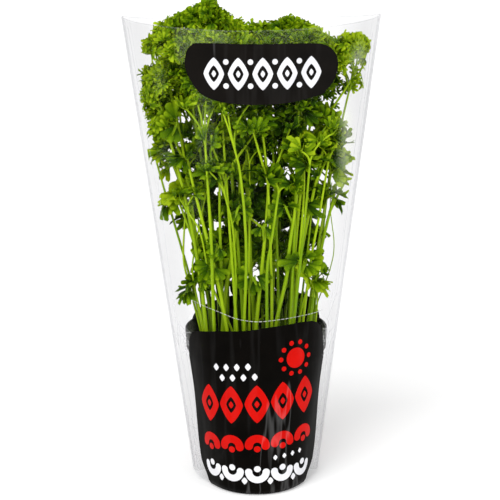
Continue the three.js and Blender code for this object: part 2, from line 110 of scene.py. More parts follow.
# Leaflets, three to a spray
LEAFLET_CHANNEL = 100
SPRAY_CHANNEL = 90
SPRAY_OUT = 0.5
SPRAY_UP = 40
TURN_STRAY = 0.07
TILT_STRAY = 0.22
FLAT_KIND = {"reach": 20, "tilt": 1.1, "roll": 0.2, "wave": 0.08}
CURLY_KIND = {"reach": 22, "tilt": 0.9, "roll": 0.5, "wave": 0.3}
SIZE_RANGE = (0.88, 1.08)
SHRINK = 0.13
TRIES_PER_SIZE = 10
LEAFLET_SINK = 0.3
LOBE_STEP = math.radians(36)
LOBE_HALF = math.radians(9)
CURL = 0.28
LEAF_MARGIN = 1.6

# How close to the solids' vertices a try has to come
FOOT_SLICE = 1.2
BRANCH_MATCH = 0.3
LEAFLET_MATCH = 0.9

# The crown's line in the solids: its height, its peaks' rise and place, their width, and how it falls off
CROWN_HEIGHT = 358
CROWN_PEAKS = [(14, -31), (7, 24)]
PEAK_WIDTH = 15
CROWN_FALL = 0.0035

# The middles of the heads that show from the front, and how many side sprays each one bears
FRONT_HEADS = [
    (-64, -6, 314, 2), (-50, -14, 336, 2), (-31, -12, 359, 2), (-9, -22, 340, 2), (12, -20, 334, 1),
    (28, -10, 352, 2), (50, -12, 330, 2), (72, -4, 312, 0), (-66, -14, 282, 1), (-50, -24, 260, 0),
    (-78, -1, 262, 0), (-24, -32, 298, 2), (4, -34, 292, 2), (32, -31, 296, 1), (54, -20, 280, 2),
    (66, -8, 256, 1), (36, -33, 256, 0), (-26, -30, 252, 1), (10, -28, 244, 1), (62, -10, 230, 0),
]

# The rows of heads behind them: y, half width, count, drop below the crown and side sprays
HIDDEN_ROWS = [(8, 42, 4, 22, 2), (32, 50, 4, 34, 2), (26, 58, 4, 92, 1)]
ROW_JITTER = (5, 4, 6)

# Flat young leaves low among the stalks
YOUNG_LEAVES = [
    (-58, -14, 227), (38, -26, 172), (-46, -16, 160), (-2, -16, 180), (-22, 6, 196), (20, 22, 210),
    (-10, -8, 222), (38, 8, 204), (-42, 18, 208),
]


# Numbers

HASH_PRIMES = (73856093, 19349663, 83492791)
HASH_STEPS = ((15, 2246822519), (13, 3266489917))
HASH_MASK = 0xFFFFFFFF


def draw(a, b, c):
    """A draw between 0 and 1 that depends only on its three whole numbers."""
    value = SEED
    for number, prime in zip((a, b, c), HASH_PRIMES):
        value ^= (number + 1) * prime
    value &= HASH_MASK
    for shift, factor in HASH_STEPS:
        value = ((value ^ (value >> shift)) * factor) & HASH_MASK
    return (value ^ (value >> 16)) / 2**32


def spread(size, a, b, c):
    return size * (2 * draw(a, b, c) - 1)


def mix(a, b, share):
    return a + (b - a) * share


def smooth(start, end, value):
    share = np.clip((value - start) / (end - start), 0, 1)
    return share * share * (3 - 2 * share)


def unit(vector):
    return vector / np.linalg.norm(vector)


def bezier(controls, share):
    """A point of a Bezier curve, or a list of points for a list of shares."""
    share = np.asarray(share, float)[..., None]
    points = [np.asarray(p, float) for p in controls]
    while len(points) > 1:
        points = [a + (b - a) * share for a, b in zip(points, points[1:])]
    return points[0]


def spline(p0, p1, p2, p3, t):
    """Points of a smooth line from p1 to p2, with p0 before them and p3 after them."""
    return p1 + 0.5 * t * (p2 - p0 + t * (2 * p0 - 5 * p1 + 4 * p2 - p3 + t * (3 * (p1 - p2) + p3 - p0)))


def circle(count):
    """Angles evenly round a circle."""
    return np.arange(count) * 2 * math.pi / count


# The sleeve's form

def sleeve_round(z):
    heights = [SLEEVE_BOTTOM, CHAMFER_HEIGHT, SHOULDER_HEIGHT, POT_HEIGHT, SLEEVE_TOP]
    radii = [FOOT_RADIUS + FOOT_EASE + FILM_GAP, BASE_RADIUS + FILM_GAP, LIP_FOOT_RADIUS + FILM_GAP]
    return np.interp(z, heights, radii + [LIP_RADIUS + FILM_GAP, TOP_DEPTH])


def sleeve_reach(side, z):
    height = np.minimum(z, SLEEVE_TOP)
    return HALF_WIDTH_AT_BASE + FLARE * height - np.sign(side) * (SHIFT_AT_BASE + LEAN * height)


def sleeve_half_depth(x, z, grow):
    """Half the sleeve's depth at x, for a section grown outwards by grow."""
    width = sleeve_reach(x, z) + SEAM_RATIO * grow
    radius = sleeve_round(z) + grow
    out = np.minimum(np.abs(x), width)
    cosine = radius / width
    sine = np.sqrt(1 - cosine * cosine)
    round_part = np.sqrt(np.maximum(radius * radius - out * out, 0))
    taut = np.where(out < radius * cosine, round_part, (width - out) * cosine / sine)
    lens = radius * (1 - (out / width) ** 2) ** BULGE_POWER
    return mix(taut, lens, BULGE_SHARE * smooth(BULGE_START, BULGE_END, z))


def inside_sleeve(points, margin, side_margin, least_depth):
    """Points moved to inside the film, at least margin from it and side_margin from its welded sides."""
    points = np.asarray(points, float)
    x, y, z = points[..., 0], points[..., 1], points[..., 2]
    limit = sleeve_reach(x, z) - side_margin
    x = np.clip(x, -limit, limit)
    depth = np.maximum(sleeve_half_depth(x, z, 0) - margin, least_depth)
    return np.stack([x, np.clip(y, -depth, depth), z], axis=-1)


def pressed(points, margin):
    """Points kept inside the film as the solids' are."""
    return inside_sleeve(points, margin, SEAM_MARGIN, least_depth=1)


# Where the leaves are: the tries that the solids took are found again by their vertices

def crown_top(x):
    height = CROWN_HEIGHT
    for rise, middle in CROWN_PEAKS:
        height += rise * math.exp(-(((x - middle) / PEAK_WIDTH) ** 2))
    return height - CROWN_FALL * x * x


def leaf_plans():
    heads = list(FRONT_HEADS)
    for r, (y, span, count, drop, side) in enumerate(HIDDEN_ROWS):
        for k in range(count):
            x = mix(-span, span, k / (count - 1)) + spread(ROW_JITTER[0], r, k, 0)
            row_y = y + spread(ROW_JITTER[1], r, k, 1)
            z = crown_top(x) - drop + spread(ROW_JITTER[2], r, k, 2)
            heads.append((x, row_y, z, side))
    plans = [{"name": f"frond_{k + 1:02d}", "head": h[:3], "side": h[3], "flat": False}
             for k, h in enumerate(heads)]
    plans += [{"name": f"young_leaf_{k + 1:02d}", "head": h, "side": 0, "flat": True}
              for k, h in enumerate(YOUNG_LEAVES)]
    return plans


def stalk_curve(i, planned, attempt):
    key = KEYS_PER_TRY * attempt
    stray = min(attempt, MOST_STRAYS) * HEAD_STRAY
    head = [planned[a] + spread(stray, i, STALK_CHANNEL, key + HEAD_KEY + a) for a in range(3)]
    head = pressed(head, HEAD_MARGIN)
    foot = [FOOT_SHARES[a] * head[a] + spread(FOOT_STRAY, i, STALK_CHANNEL, key + a) for a in range(2)]
    foot = np.array([*foot, SOIL_TOP - STALK_DEPTH])
    foot[:2] *= min(STALK_REACH / math.hypot(foot[0], foot[1]), 1)
    curve = [foot]
    for n, (share, rise, strays) in enumerate(STALK_BENDS):
        bend = mix(foot, head, share)
        for a in range(2):
            bend[a] += spread(strays[a], i, STALK_CHANNEL, key + 2 + 2 * n + a)
        bend[2] = foot[2] + rise * (head[2] - foot[2])
        curve.append(bend)
    return curve + [head]


def branch_curve(i, side, stalk, attempt):
    key = KEYS_PER_TRY * attempt
    channel = BRANCH_CHANNEL + side
    fork = bezier(stalk, FORK_SHARE - FORK_STEP * side + spread(FORK_STRAY, i, channel, key))
    angle = math.pi * (side + 2 * draw(i, BRANCH_TURN_CHANNEL, 0))
    angle += spread(BRANCH_TURN, i, channel, key + 1)
    away = mix(*BRANCH_LENGTHS, draw(i, channel, key + 2))
    drop = mix(*BRANCH_DROPS, draw(i, channel, key + 3))
    way = [away * math.cos(angle), BRANCH_FLATNESS * away * math.sin(angle), -drop]
    end = pressed(stalk[-1] + way, HEAD_MARGIN)
    bend = mix(fork, end, np.array(BRANCH_BEND)) + [0, 0, BRANCH_BEND_LIFT]
    return [fork, bend, end]


def curve_end(curve):
    """The end of a curve, and the way that it points there."""
    tip = bezier(curve, 1)
    return tip, unit(tip - bezier(curve, NEAR_END))


def leaflet_frame(i, spray, k, curve, flat, attempt):
    kind = FLAT_KIND if flat else CURLY_KIND
    key = KEYS_PER_TRY * attempt
    channel = LEAFLET_CHANNEL + 10 * spray + k
    tip, axis = curve_end(curve)
    axis = unit(axis + SPRAY_OUT * unit(np.array([tip[0], tip[1], SPRAY_UP])))
    reference = unit(np.cross([0, 1, 0], axis))
    other = np.cross(axis, reference)
    turn = 2 * math.pi * ((k + spread(TURN_STRAY, i, channel, key)) / 3 + draw(i, SPRAY_CHANNEL + spray, 0))
    tilt = kind["tilt"] + spread(TILT_STRAY, i, channel, key + 1)
    roll = spread(kind["roll"], i, channel, key + 2)
    radial = reference * math.cos(turn) + other * math.sin(turn)
    along = axis * math.cos(tilt) + radial * math.sin(tilt)
    level = unit(np.cross(axis, radial))
    face = unit(np.cross(level, along))
    size = kind["reach"] * mix(*SIZE_RANGE, draw(i, channel, 5))
    size *= 1 - SHRINK * (attempt // TRIES_PER_SIZE)
    return {
        "root": tip - LEAFLET_SINK * axis,
        "along": along,
        "across": level * math.cos(roll) + face * math.sin(roll),
        "size": size,
        "wave": kind["wave"],
    }


def leaflet_points(leaflet, angle, share):
    """Points of a leaflet's middle surface, at angles from its midrib and shares of its reach."""
    along, across, size = leaflet["along"], leaflet["across"], leaflet["size"]
    wave = leaflet["wave"] * np.cos(2 * math.pi * angle / LOBE_STEP)
    return (leaflet["root"]
            + along * (size * share * np.cos(angle))[..., None]
            + across * (size * share * np.sin(angle))[..., None]
            + np.cross(along, across) * (size * share * share * (wave - CURL))[..., None])


EDGE_ANGLES = np.array([lobe * LOBE_STEP + turn * LOBE_HALF for lobe in (-1, 0, 1) for turn in (-1, 1)])
EDGE_SHARES = np.array([0.88, 0.836, 1, 0.95, 0.88, 0.836])


def best_try(tries, misfit, limit):
    """The try that fits best, or None if none fits well enough."""
    best = min(tries, key=misfit)
    return best if misfit(best) < limit else None


def find_stalk(i, plan, vertices):
    foot = vertices[vertices[:, 2] < SOIL_TOP - STALK_DEPTH + FOOT_SLICE].mean(axis=0)
    curves = [stalk_curve(i, plan["head"], attempt) for attempt in range(STALK_TRIES)]
    return min(curves, key=lambda curve: np.linalg.norm(curve[0][:2] - foot[:2]))


def find_branch(i, side, stalk, vertices):
    def misfit(curve):
        distances = np.sort(np.linalg.norm(vertices - bezier(curve, 0.5), axis=1))[:3]
        return np.abs(distances - BRANCH_RADIUS).mean()

    tries = [branch_curve(i, side, stalk, attempt) for attempt in range(TRIES)]
    return best_try(tries, misfit, BRANCH_MATCH)


def find_leaflet(i, spray, k, curve, flat, vertices):
    def misfit(leaflet):
        rim = pressed(leaflet_points(leaflet, EDGE_ANGLES, EDGE_SHARES), LEAF_MARGIN)
        return np.linalg.norm(rim[:, None] - vertices[None], axis=2).min(axis=1).mean()

    tries = [leaflet_frame(i, spray, k, curve, flat, attempt) for attempt in range(TRIES)]
    return best_try(tries, misfit, LEAFLET_MATCH)


def find_leaf(i, plan):
    mesh = nodes[plan["name"]].data
    vertices = np.empty(3 * len(mesh.vertices))
    mesh.vertices.foreach_get("co", vertices)
    vertices = np.unique(vertices.reshape(-1, 3).round(7), axis=0) / MM
    stalk = find_stalk(i, plan, vertices)
    branches = [find_branch(i, side, stalk, vertices) for side in range(plan["side"])]
    curves = [stalk] + [curve for curve in branches if curve is not None]
    sprays = []
    for spray, curve in enumerate(curves):
        found = [find_leaflet(i, spray, k, curve, plan["flat"], vertices) for k in range(3)]
        sprays.append([leaflet for leaflet in found if leaflet is not None])
    return {**plan, "index": i, "curves": curves, "sprays": sprays}


leaves = [find_leaf(i, plan) for i, plan in enumerate(leaf_plans())]


# Meshes

# The materials of a mesh of leaves, by number
BLADE = 0
STEM = 1


def placed(name, data):
    """A new object in the scene."""
    thing = bpy.data.objects.new(name, data)
    bpy.context.scene.collection.objects.link(thing)
    return thing


def shade_smooth(mesh):
    mesh.polygons.foreach_set("use_smooth", [True] * len(mesh.polygons))


def add_mesh(name, points, faces, materials, indices=None, attributes=None):
    """A smooth mesh from points in millimetres and a list of polygons."""
    mesh = bpy.data.meshes.new(name)
    mesh.from_pydata((np.asarray(points) * MM).tolist(), [], faces)
    shade_smooth(mesh)
    for material in materials:
        mesh.materials.append(material)
    if indices is not None:
        mesh.polygons.foreach_set("material_index", np.asarray(indices, dtype=np.int32))
    for key, values in (attributes or {}).items():
        layer = mesh.attributes.new(key, "FLOAT", "POINT")
        layer.data.foreach_set("value", np.asarray(values, dtype=np.float32))
    mesh.update()
    return placed(name, mesh)


def ride(thing, replaced=()):
    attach(thing, "root")
    if replaced:
        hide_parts(*replaced)


def quads_between(rows, columns, closed):
    """The faces that join each row of a grid of points to the next."""
    number = np.arange(rows * columns).reshape(rows, columns)
    if closed:
        number = np.hstack([number, number[:, :1]])
    corners = [number[:-1, :-1], number[:-1, 1:], number[1:, 1:], number[1:, :-1]]
    return np.stack(corners, axis=-1).reshape(-1, 4)


class Patches:
    """Points and faces that are gathered into one mesh."""

    def __init__(self):
        self.points = []
        self.faces = []
        self.indices = []
        # Besides each piece's own tone, these attributes carry painted light and shade for the leaf, stalk
        # and film materials
        self.attributes = {"tone": [], "tip": [], "fold": []}
        self.count = 0

    def add_faces(self, points, faces, material, **values):
        self.points.append(points)
        self.faces += (np.asarray(faces) + self.count).tolist()
        self.indices += [material] * len(faces)
        for key, gathered in self.attributes.items():
            gathered.append(np.broadcast_to(values.get(key, 0), len(points)))
        self.count += len(points)

    def add(self, grid, material, closed=False, tone=0.5, tip=0.0, fold=0.0):
        """A grid of points. closed also joins its last column to its first."""
        rows, columns = grid.shape[:2]
        values = {key: np.broadcast_to(value, (rows, columns)).reshape(-1)
                  for key, value in (("tone", tone), ("tip", tip), ("fold", fold))}
        self.add_faces(grid.reshape(-1, 3), quads_between(rows, columns, closed), material, **values)

    def add_tube(self, path, thick, thin, sides, tone, tip):
        """A round stem along a path, with its radius at the start and at the end."""
        grid = tube_grid(path, np.linspace(thick, thin, len(path)), sides)
        self.add(grid, STEM, closed=True, tone=tone, tip=tip)

    def add_branch(self, controls, count, thick, thin, sides, tone, tip):
        """A round stem along a Bezier curve."""
        self.add_tube(bezier(controls, np.linspace(0, 1, count)), thick, thin, sides, tone, tip)

    def build(self, name, materials):
        attributes = {key: np.concatenate(values) for key, values in self.attributes.items()}
        return add_mesh(name, np.concatenate(self.points), self.faces, materials, self.indices, attributes)


def tube_grid(path, radii, sides):
    """Rings of points round a path."""
    along = np.gradient(path, axis=0)
    along /= np.linalg.norm(along, axis=1, keepdims=True)
    reference = np.array([1.0, 0, 0]) if abs(along[0][0]) < 0.8 else np.array([0, 1.0, 0])
    side = np.cross(reference, along)
    side /= np.linalg.norm(side, axis=1, keepdims=True)
    up = np.cross(along, side)
    angle = circle(sides)
    ring = side[:, None] * np.cos(angle)[None, :, None] + up[:, None] * np.sin(angle)[None, :, None]
    return path[:, None] + ring * radii[:, None, None]


def lathe_grid(outline, segments):
    """A ring of points for each radius and height of an outline."""
    angle = circle(segments)
    radius, height = np.array(outline, float).T[:, :, None]
    return np.stack([radius * np.cos(angle), radius * np.sin(angle), height + 0 * angle], axis=-1)


# Foliage
STALK_SIDES = 10
STALK_POINTS = 25
BRANCH_SIDES = 7
BRANCH_POINTS = 13
BRANCH_RADII = (1.1, 0.7)
STALK_RADII = (2, 1.25)
STALK_SLIMNESS = 0.8
YOUNG_SLIMNESS = 0.75
SLIM_RANGE = (0.72, 1.1)
SLIM_CHANNEL = 40
EDGE_MARGIN = 3.5
BLADE_MARGIN = 0.6


def turned_about(vector, axis, angle):
    return (vector * math.cos(angle) + np.cross(axis, vector) * math.sin(angle)
            + axis * (axis @ vector) * (1 - math.cos(angle)))


def held(points, margin=BLADE_MARGIN):
    """Points kept inside the film, at least margin from it."""
    return inside_sleeve(points, margin, EDGE_MARGIN, least_depth=0.3)


# How high the foliage reaches across the sleeve, for leaves in the middle of its depth
CROWN_LINE = [
    (-90, 330), (-84, 346), (-76, 355), (-68, 357), (-60, 360), (-52, 364), (-46, 367), (-40, 371),
    (-33, 376), (-27, 372), (-23, 366), (-18, 361), (-12, 360), (-6, 359), (4, 356), (13, 355), (26, 360),
    (34, 358), (42, 354), (50, 351), (57, 346), (63, 343), (68, 349), (84, 345), (90, 335),
]
CROWN_SLOPE = 0.2

# The most that a fan is moved, the share of its excess depth, and how far it may stand out of the crown
MOST_SHIFT = 12
DEPTH_SHIFT = 0.7
CROWN_EXCESS = 5


def crown_limit(x, y):
    return np.interp(x, *zip(*CROWN_LINE)) - CROWN_SLOPE * np.maximum(y, 0)


def moved_in(grid, inset):
    """How far a fan is moved as a whole, so that little of it has to be pressed flat."""
    shift = np.zeros(3)
    limit = (sleeve_reach(grid[..., 0], grid[..., 2]) - EDGE_MARGIN).min() - inset
    over = np.abs(grid[..., 0]).max() - limit
    if over > 0:
        shift[0] = -np.sign(grid[..., 0].mean()) * min(over, MOST_SHIFT)
    depth = sleeve_half_depth(grid[..., 0] + shift[0], grid[..., 2], 0) - BLADE_MARGIN
    over = (np.abs(grid[..., 1]) - depth).max()
    if over > 0:
        shift[1] = -np.sign(grid[..., 1].mean()) * min(DEPTH_SHIFT * over, MOST_SHIFT)
    over = (grid[..., 2] - crown_limit(grid[..., 0] + shift[0], grid[..., 1])).max() + inset - CROWN_EXCESS
    shift[2] = -np.clip(over, 0, MOST_SHIFT)
    return shift


# A fan's fingers: how waved and twisted they are, how round their ends are and how long they are
FINGER_WAVES = (0.3, 1.2)
FINGER_TWIST = 0.5
FINGER_ROUNDNESS = 0.4
FINGER_LENGTHS = (0.78, 1.12)

# How a fan draws in at its sides, how its points crowd to its edge, and its painted light and shade: how
# pale its root is painted, and how much paler its raised folds and darker its lowered ones are
SIDE_ANGLE = 0.72
SIDE_POWER = 0.6
ROW_POWER = 0.75
ROOT_TIP = 0.3
FOLD_PAINTED_LIGHT = 0.4


def finger_waves(rng, phase, lobes):
    """A smooth wave that is up on one finger and down on the next, each by its own amount."""
    signs = np.where(np.arange(lobes) % 2 == 0, 1, -1) * rng.choice([-1, 1])
    peaks = np.concatenate([[0], signs * rng.uniform(*FINGER_WAVES, lobes), [0]])
    return np.interp(phase, np.concatenate([[-0.5], np.arange(lobes) + 0.5, [lobes + 0.5]]), peaks)


# Where the points of a fan's edge lie along each finger, for four or six to a finger
FINGER_STEPS = {4: (0, 0.22, 0.5, 0.78), 6: (0, 0.12, 0.31, 0.5, 0.69, 0.88)}


def fan_grid(root, along, across, size, rng, lobes=4, half=1.12, cut=0.4, ruffle=0.3, curl=0.25,
             columns=4, rows=2):
    """One leaf segment: a fan of rounded fingers that are waved up and down in turn."""
    phase = np.append((np.arange(lobes)[:, None] + np.array(FINGER_STEPS[columns])).reshape(-1), lobes)
    angle = half * (2 * phase / lobes - 1)
    finger = np.abs(np.sin(np.pi * phase)) ** FINGER_ROUNDNESS
    length = rng.uniform(*FINGER_LENGTHS, lobes)[np.minimum(phase.astype(int), lobes - 1)]
    reach = np.cos(angle * SIDE_ANGLE) ** SIDE_POWER * length * (1 - cut * (1 - finger))
    share = np.linspace(0, 1, rows + 1)[:, None] ** ROW_POWER
    radius = share * reach[None, :]
    wave = finger_waves(rng, phase, lobes)
    twist = np.sin(2 * np.pi * phase) * rng.uniform(-FINGER_TWIST, FINGER_TWIST)
    lift = radius**2 * (ruffle * (wave + twist))[None, :] - curl * radius**2 * (0.5 + 0.9 * share)
    normal = np.cross(along, across)
    grid = (root + along * (size * radius * np.cos(angle))[..., None]
            + across * (size * radius * np.sin(angle))[..., None]
            + normal * (size * lift)[..., None])
    # tip and fold carry painted shade at the root and between the fingers, and painted light on raised
    # folds
    return grid, share * mix(ROOT_TIP, 1, finger[None, :]), 0.5 + FOLD_PAINTED_LIGHT * wave[None, :]


def stemmed_fan(patches, start, end, way, flank, size, rng, thick=0.4, tone=0.5, **form):
    """A fan at the end of a fine stem."""
    grid, tip, fold = fan_grid(end, way, flank, size, rng, **form)
    shift = moved_in(grid, rng.uniform(0, 6))
    end = end + shift
    patches.add(held(grid + shift), BLADE, tone=tone, tip=tip, fold=fold)
    middle = (start + end) / 2 + rng.uniform(-0.5, 0.5, 3)
    path = held(bezier([start, middle, end], np.linspace(0, 1, 3)), 0.9)
    patches.add_tube(path, thick, 0.6 * thick, 3, tone, 0.8)


# The golden share of a turn, and its angle, spread parts evenly
GOLDEN_SHARE = 0.618
GOLDEN_ANGLE = 2.4

# Segments of a leaflet: angle from its midrib, where it starts, its size, its tilt and its roll
CURLY_COUNT = 15
CURLY_SPAN = 132
CURLY_STARTS = (0.3, 0.52)
CURLY_SIZE = 0.32
CURLY_TILTS = (0.1, 0.7, -0.5)
CURLY_ROLL = 0.3
CURLY_SEGMENTS = [
    (CURLY_SPAN * (GOLDEN_SHARE * k % 1) - CURLY_SPAN / 2,
     CURLY_STARTS[0] + CURLY_STARTS[1] * math.sqrt((k + 0.5) / CURLY_COUNT),
     CURLY_SIZE, CURLY_TILTS[k % 3], CURLY_ROLL * (-1) ** k)
    for k in range(CURLY_COUNT)
]
OPEN_SEGMENTS = [(0, 0.30, 0.70, 0.0, 0.0), (-44, 0.22, 0.6, 0.0, 0.15), (44, 0.22, 0.6, 0.0, -0.15)]
FLAT_SEGMENTS = [(0, 0.34, 1.02, 0.0, 0.0), (-48, 0.2, 0.88, 0.0, 0.1), (48, 0.2, 0.88, 0.0, -0.1)]
OPEN_FORM = {"lobes": 4, "half": 1.0, "cut": 0.27, "columns": 4, "rows": 3}
FACING_FORM = {"lobes": 3, "half": 0.78, "cut": 0.2, "columns": 6, "rows": 4}
FLAT_FORM = {"lobes": 5, "half": 1.15, "cut": 0.2, "columns": 4, "rows": 4}


def leaflet_segments(patches, leaflet, segments, rng, tone, sway, **form):
    along, across, size, root = (leaflet[key] for key in ("along", "across", "size", "root"))
    for degrees, share, part, tilt, roll in segments:
        angle = np.array(math.radians(degrees) + rng.uniform(-0.12, 0.12))
        start = leaflet_points(leaflet, angle, np.array(share))
        out = unit(leaflet_points(leaflet, angle, np.array(share + 0.05)) - start)
        side = unit(np.cross(np.cross(along, across), out))
        out = turned_about(out, side, -(tilt + rng.uniform(-sway, sway)))
        side = turned_about(side, out, roll + rng.uniform(-1.4 * sway, 1.4 * sway))
        stemmed_fan(patches, root, start, out, side, size * part * rng.uniform(0.85, 1.12), rng,
                    curl=rng.uniform(0.0, 0.4), tone=tone + rng.uniform(-0.2, 0.2), **form)


def rosette(patches, centre, axis, count, size, rng, tone, droop=0.35, reach=(0.5, 1.5), **form):
    """Segments all round the end of a branch, leaning over so that their faces show. Most point upwards."""
    level = unit(np.cross(axis, [0, 1, 0.1]))
    other = np.cross(axis, level)
    for k in range(count):
        rise = 1 - (1 + droop) * (k + 0.5) / count
        flat_part = math.sqrt(1 - rise * rise)
        turn = GOLDEN_ANGLE * k + rng.uniform(-0.3, 0.3)
        out = unit(axis * (rise + 0.15) + (level * math.cos(turn) + other * math.sin(turn)) * flat_part)
        lean = np.cross(np.cross(out, rng.uniform(-1, 1, 3) + [0, 0, 0.7]), out)
        way = unit(out * rng.uniform(0.3, 0.9) + unit(lean) * 0.8)
        flank = turned_about(unit(np.cross(out, way)), way, rng.uniform(-0.5, 0.5))
        far = rng.uniform(*reach)
        end = centre + out * far * size
        # Painted shade: segments near the middle of the rosette are darker, and those further out paler
        painted_depth_shade = 0.25 * (far - sum(reach) / 2)
        stemmed_fan(patches, centre, end, way, flank, size * rng.uniform(0.8, 1.2), rng,
                    curl=rng.uniform(0, 0.5), tone=tone + painted_depth_shade + rng.uniform(-0.15, 0.15), **form)


# Side clusters: their fans and the angle between them, the first one's distance from the tip, the step to
# the next pair, how much that pair is turned, and how long their segments are
CLUSTER_FANS = 5
CLUSTER_ANGLE = 0.58
CLUSTER_START = 5
CLUSTER_STEP = 7
CLUSTER_TURN = 1.2
CLUSTER_SIZES = (6.5, 8)


def side_cluster(patches, curve, at, turn, size, rng, tone):
    """A small group of segments on a short stem from a stalk or branch."""
    start = bezier(curve, at)
    axis = unit(bezier(curve, min(at + 0.03, 1)) - bezier(curve, at - 0.03))
    level = unit(np.cross(axis, [0, 1, 0]))
    radial = level * math.cos(turn) + np.cross(axis, level) * math.sin(turn)
    out = unit(radial * 0.9 + axis * 0.5)
    end = held(start + out * size, 2)
    patches.add_branch([start, (start + end) / 2 - axis, end], 5, 0.6, 0.4, 4, tone, 0.7)
    side = unit(np.cross(axis, out))
    for k in range(CLUSTER_FANS):
        way = turned_about(out, unit(np.cross(side, out)), (k - CLUSTER_FANS // 2) * CLUSTER_ANGLE)
        way = turned_about(way, side, rng.uniform(-0.9, 0.7))
        flank = unit(np.cross(np.cross(way, side), way))
        flank = turned_about(flank, way, rng.uniform(-0.7, 0.7))
        stemmed_fan(patches, end, end + way * rng.uniform(1, 3), way, flank, size * rng.uniform(0.75, 1.05),
                    rng, curl=rng.uniform(0.0, 0.4), tone=tone + rng.uniform(-0.2, 0.2))


# Leaves below these heights are open, and those above are curly
OPEN_BELOW = 285
OPEN_BELOW_IN_FRONT = 300


def is_curly(leaf):
    _, y, z = leaf["head"]
    return not leaf["flat"] and z >= (OPEN_BELOW_IN_FRONT if y < 0 else OPEN_BELOW)


# Painted light and shade on the leaves: deep shade for all, more painted light near the film, in the crown
# and at its sides, a little darker at its top, and the places between which each of these comes and goes
PAINTED_SHADE_BASE = 0.05
PAINTED_LIGHT_NEAR_FILM = 0.34
NEAR_FILM = (0.45, 0.95)
PAINTED_LIGHT_IN_CROWN = 0.44
CROWN_BEGINS = (285, 335)
PAINTED_LIGHT_AT_SIDES = 0.27
SIDES_OUT = (42, 58)
SIDES_BEGIN = (228, 240)
SIDES_END = (300, 320)
DARKER_AT_TOP = 0.04
TOP_BEGINS = (350, 368)


def painted_light_and_shade_at(point):
    """Painted shade deep inside the bunch, and painted light in the crown and towards the film."""
    x, y, z = point
    out = max(abs(y) / sleeve_half_depth(x, z, 0), abs(x) / sleeve_reach(x, z))
    at_sides = smooth(*SIDES_OUT, abs(x)) * smooth(*SIDES_BEGIN, z) * (1 - smooth(*SIDES_END, z))
    return (PAINTED_SHADE_BASE + PAINTED_LIGHT_NEAR_FILM * smooth(*NEAR_FILM, out)
            + PAINTED_LIGHT_IN_CROWN * smooth(*CROWN_BEGINS, z)
            + PAINTED_LIGHT_AT_SIDES * at_sides - DARKER_AT_TOP * smooth(*TOP_BEGINS, z))


# A rosette that fills the crown: how many segments, and how long they are
TUFT_COUNT = 34
TUFT_SIZE = 7.2

# The spray at the right shoulder is sparse: how far out it is, and its lowest and highest place
SPARSE_OUT = 54
SPARSE_HEIGHTS = (288, 326)


def add_curly_spray(patches, leaf, spray, curve, rng, shade):
    tip, axis = curve_end(curve)
    length = np.linalg.norm(tip - bezier(curve, 0))
    turn = rng.uniform(0, math.pi)
    sparse = tip[0] > SPARSE_OUT and SPARSE_HEIGHTS[0] < tip[2] < SPARSE_HEIGHTS[1]
    segments = CURLY_SEGMENTS[::3] if sparse else CURLY_SEGMENTS
    for leaflet in spray:
        leaflet_segments(patches, leaflet, segments, rng, shade + rng.uniform(-0.2, 0.2), sway=0.35)
    if sparse:
        return
    in_front = leaf["head"][1] < 0
    rosette(patches, tip + axis, axis, TUFT_COUNT, TUFT_SIZE, rng, shade, droop=0.1 if in_front else 0.4)
    for k in range(2 if in_front else 6):
        at = 1 - (CLUSTER_START + CLUSTER_STEP * (k // 2)) / length
        around = turn + math.pi * (k % 2) + CLUSTER_TURN * (k // 2)
        side_cluster(patches, curve, at, around, rng.uniform(*CLUSTER_SIZES), rng, shade)


# Leaflets of young leaves that point down more than this are made smaller
HANGING = -0.3
HANGING_SIZE = 0.66

# Open leaves this far out and this low have no rosette
BARE_OUT = 48
BARE_BELOW = 265


def add_open_spray(patches, leaf, spray, curve, rng, shade):
    tip, axis = curve_end(curve)
    for leaflet in spray:
        segments, form, ruffle = OPEN_SEGMENTS, OPEN_FORM, 0.26
        if leaf["flat"]:
            segments, form, ruffle = FLAT_SEGMENTS, FLAT_FORM, 0.14
            if leaflet["along"][2] < HANGING:
                leaflet = {**leaflet, "size": HANGING_SIZE * leaflet["size"]}
        leaflet_segments(patches, leaflet, segments, rng, shade + rng.uniform(-0.12, 0.12), sway=0.15,
                         thick=0.55, ruffle=ruffle, **form)
    if not leaf["flat"] and not (abs(tip[0]) > BARE_OUT and tip[2] < BARE_BELOW):
        rosette(patches, tip, axis, 8, 10, rng, shade, droop=0.5, reach=(0.3, 0.9), ruffle=0.26,
                **OPEN_FORM)


# Painted light and shade of each young leaf: how pale each one is painted
YOUNG_PAINTED_LIGHT = [1.0, 0.75, 0.3, 0.25, 0.4, 0.15, 0.2, 0.2, 0.2]


def add_leaf(leaf, materials):
    rng = np.random.default_rng(SEED + leaf["index"])
    patches = Patches()
    # A random tone for the stalks, with painted light on those that stand towards the front
    tone = rng.uniform(0.05, 0.5) + 0.4 * smooth(25, -25, leaf["head"][1])
    slim = mix(*SLIM_RANGE, draw(leaf["index"], SLIM_CHANNEL, 0)) * (YOUNG_SLIMNESS if leaf["flat"] else 1)
    thick, thin = (STALK_SLIMNESS * slim * radius for radius in STALK_RADII)
    along = np.linspace(0, 1, STALK_POINTS)[:, None]
    patches.add_branch(leaf["curves"][0], STALK_POINTS, thick, thin, STALK_SIDES, tone, along)
    for curve in leaf["curves"][1:]:
        patches.add_branch(curve, BRANCH_POINTS, *BRANCH_RADII, BRANCH_SIDES, tone, 0.7)
    add_spray = add_curly_spray if is_curly(leaf) else add_open_spray
    for spray, curve in zip(leaf["sprays"], leaf["curves"]):
        # Painted light and shade by where the spray ends in the bunch; young leaves take theirs from their
        # own list
        shade = painted_light_and_shade_at(curve[-1]) + rng.uniform(-0.08, 0.08)
        if leaf["flat"]:
            shade = YOUNG_PAINTED_LIGHT[int(leaf["name"][-2:]) - 1]
        add_spray(patches, leaf, spray, curve, rng, shade)
    ride(patches.build("fine_" + leaf["name"], materials), [leaf["name"]])
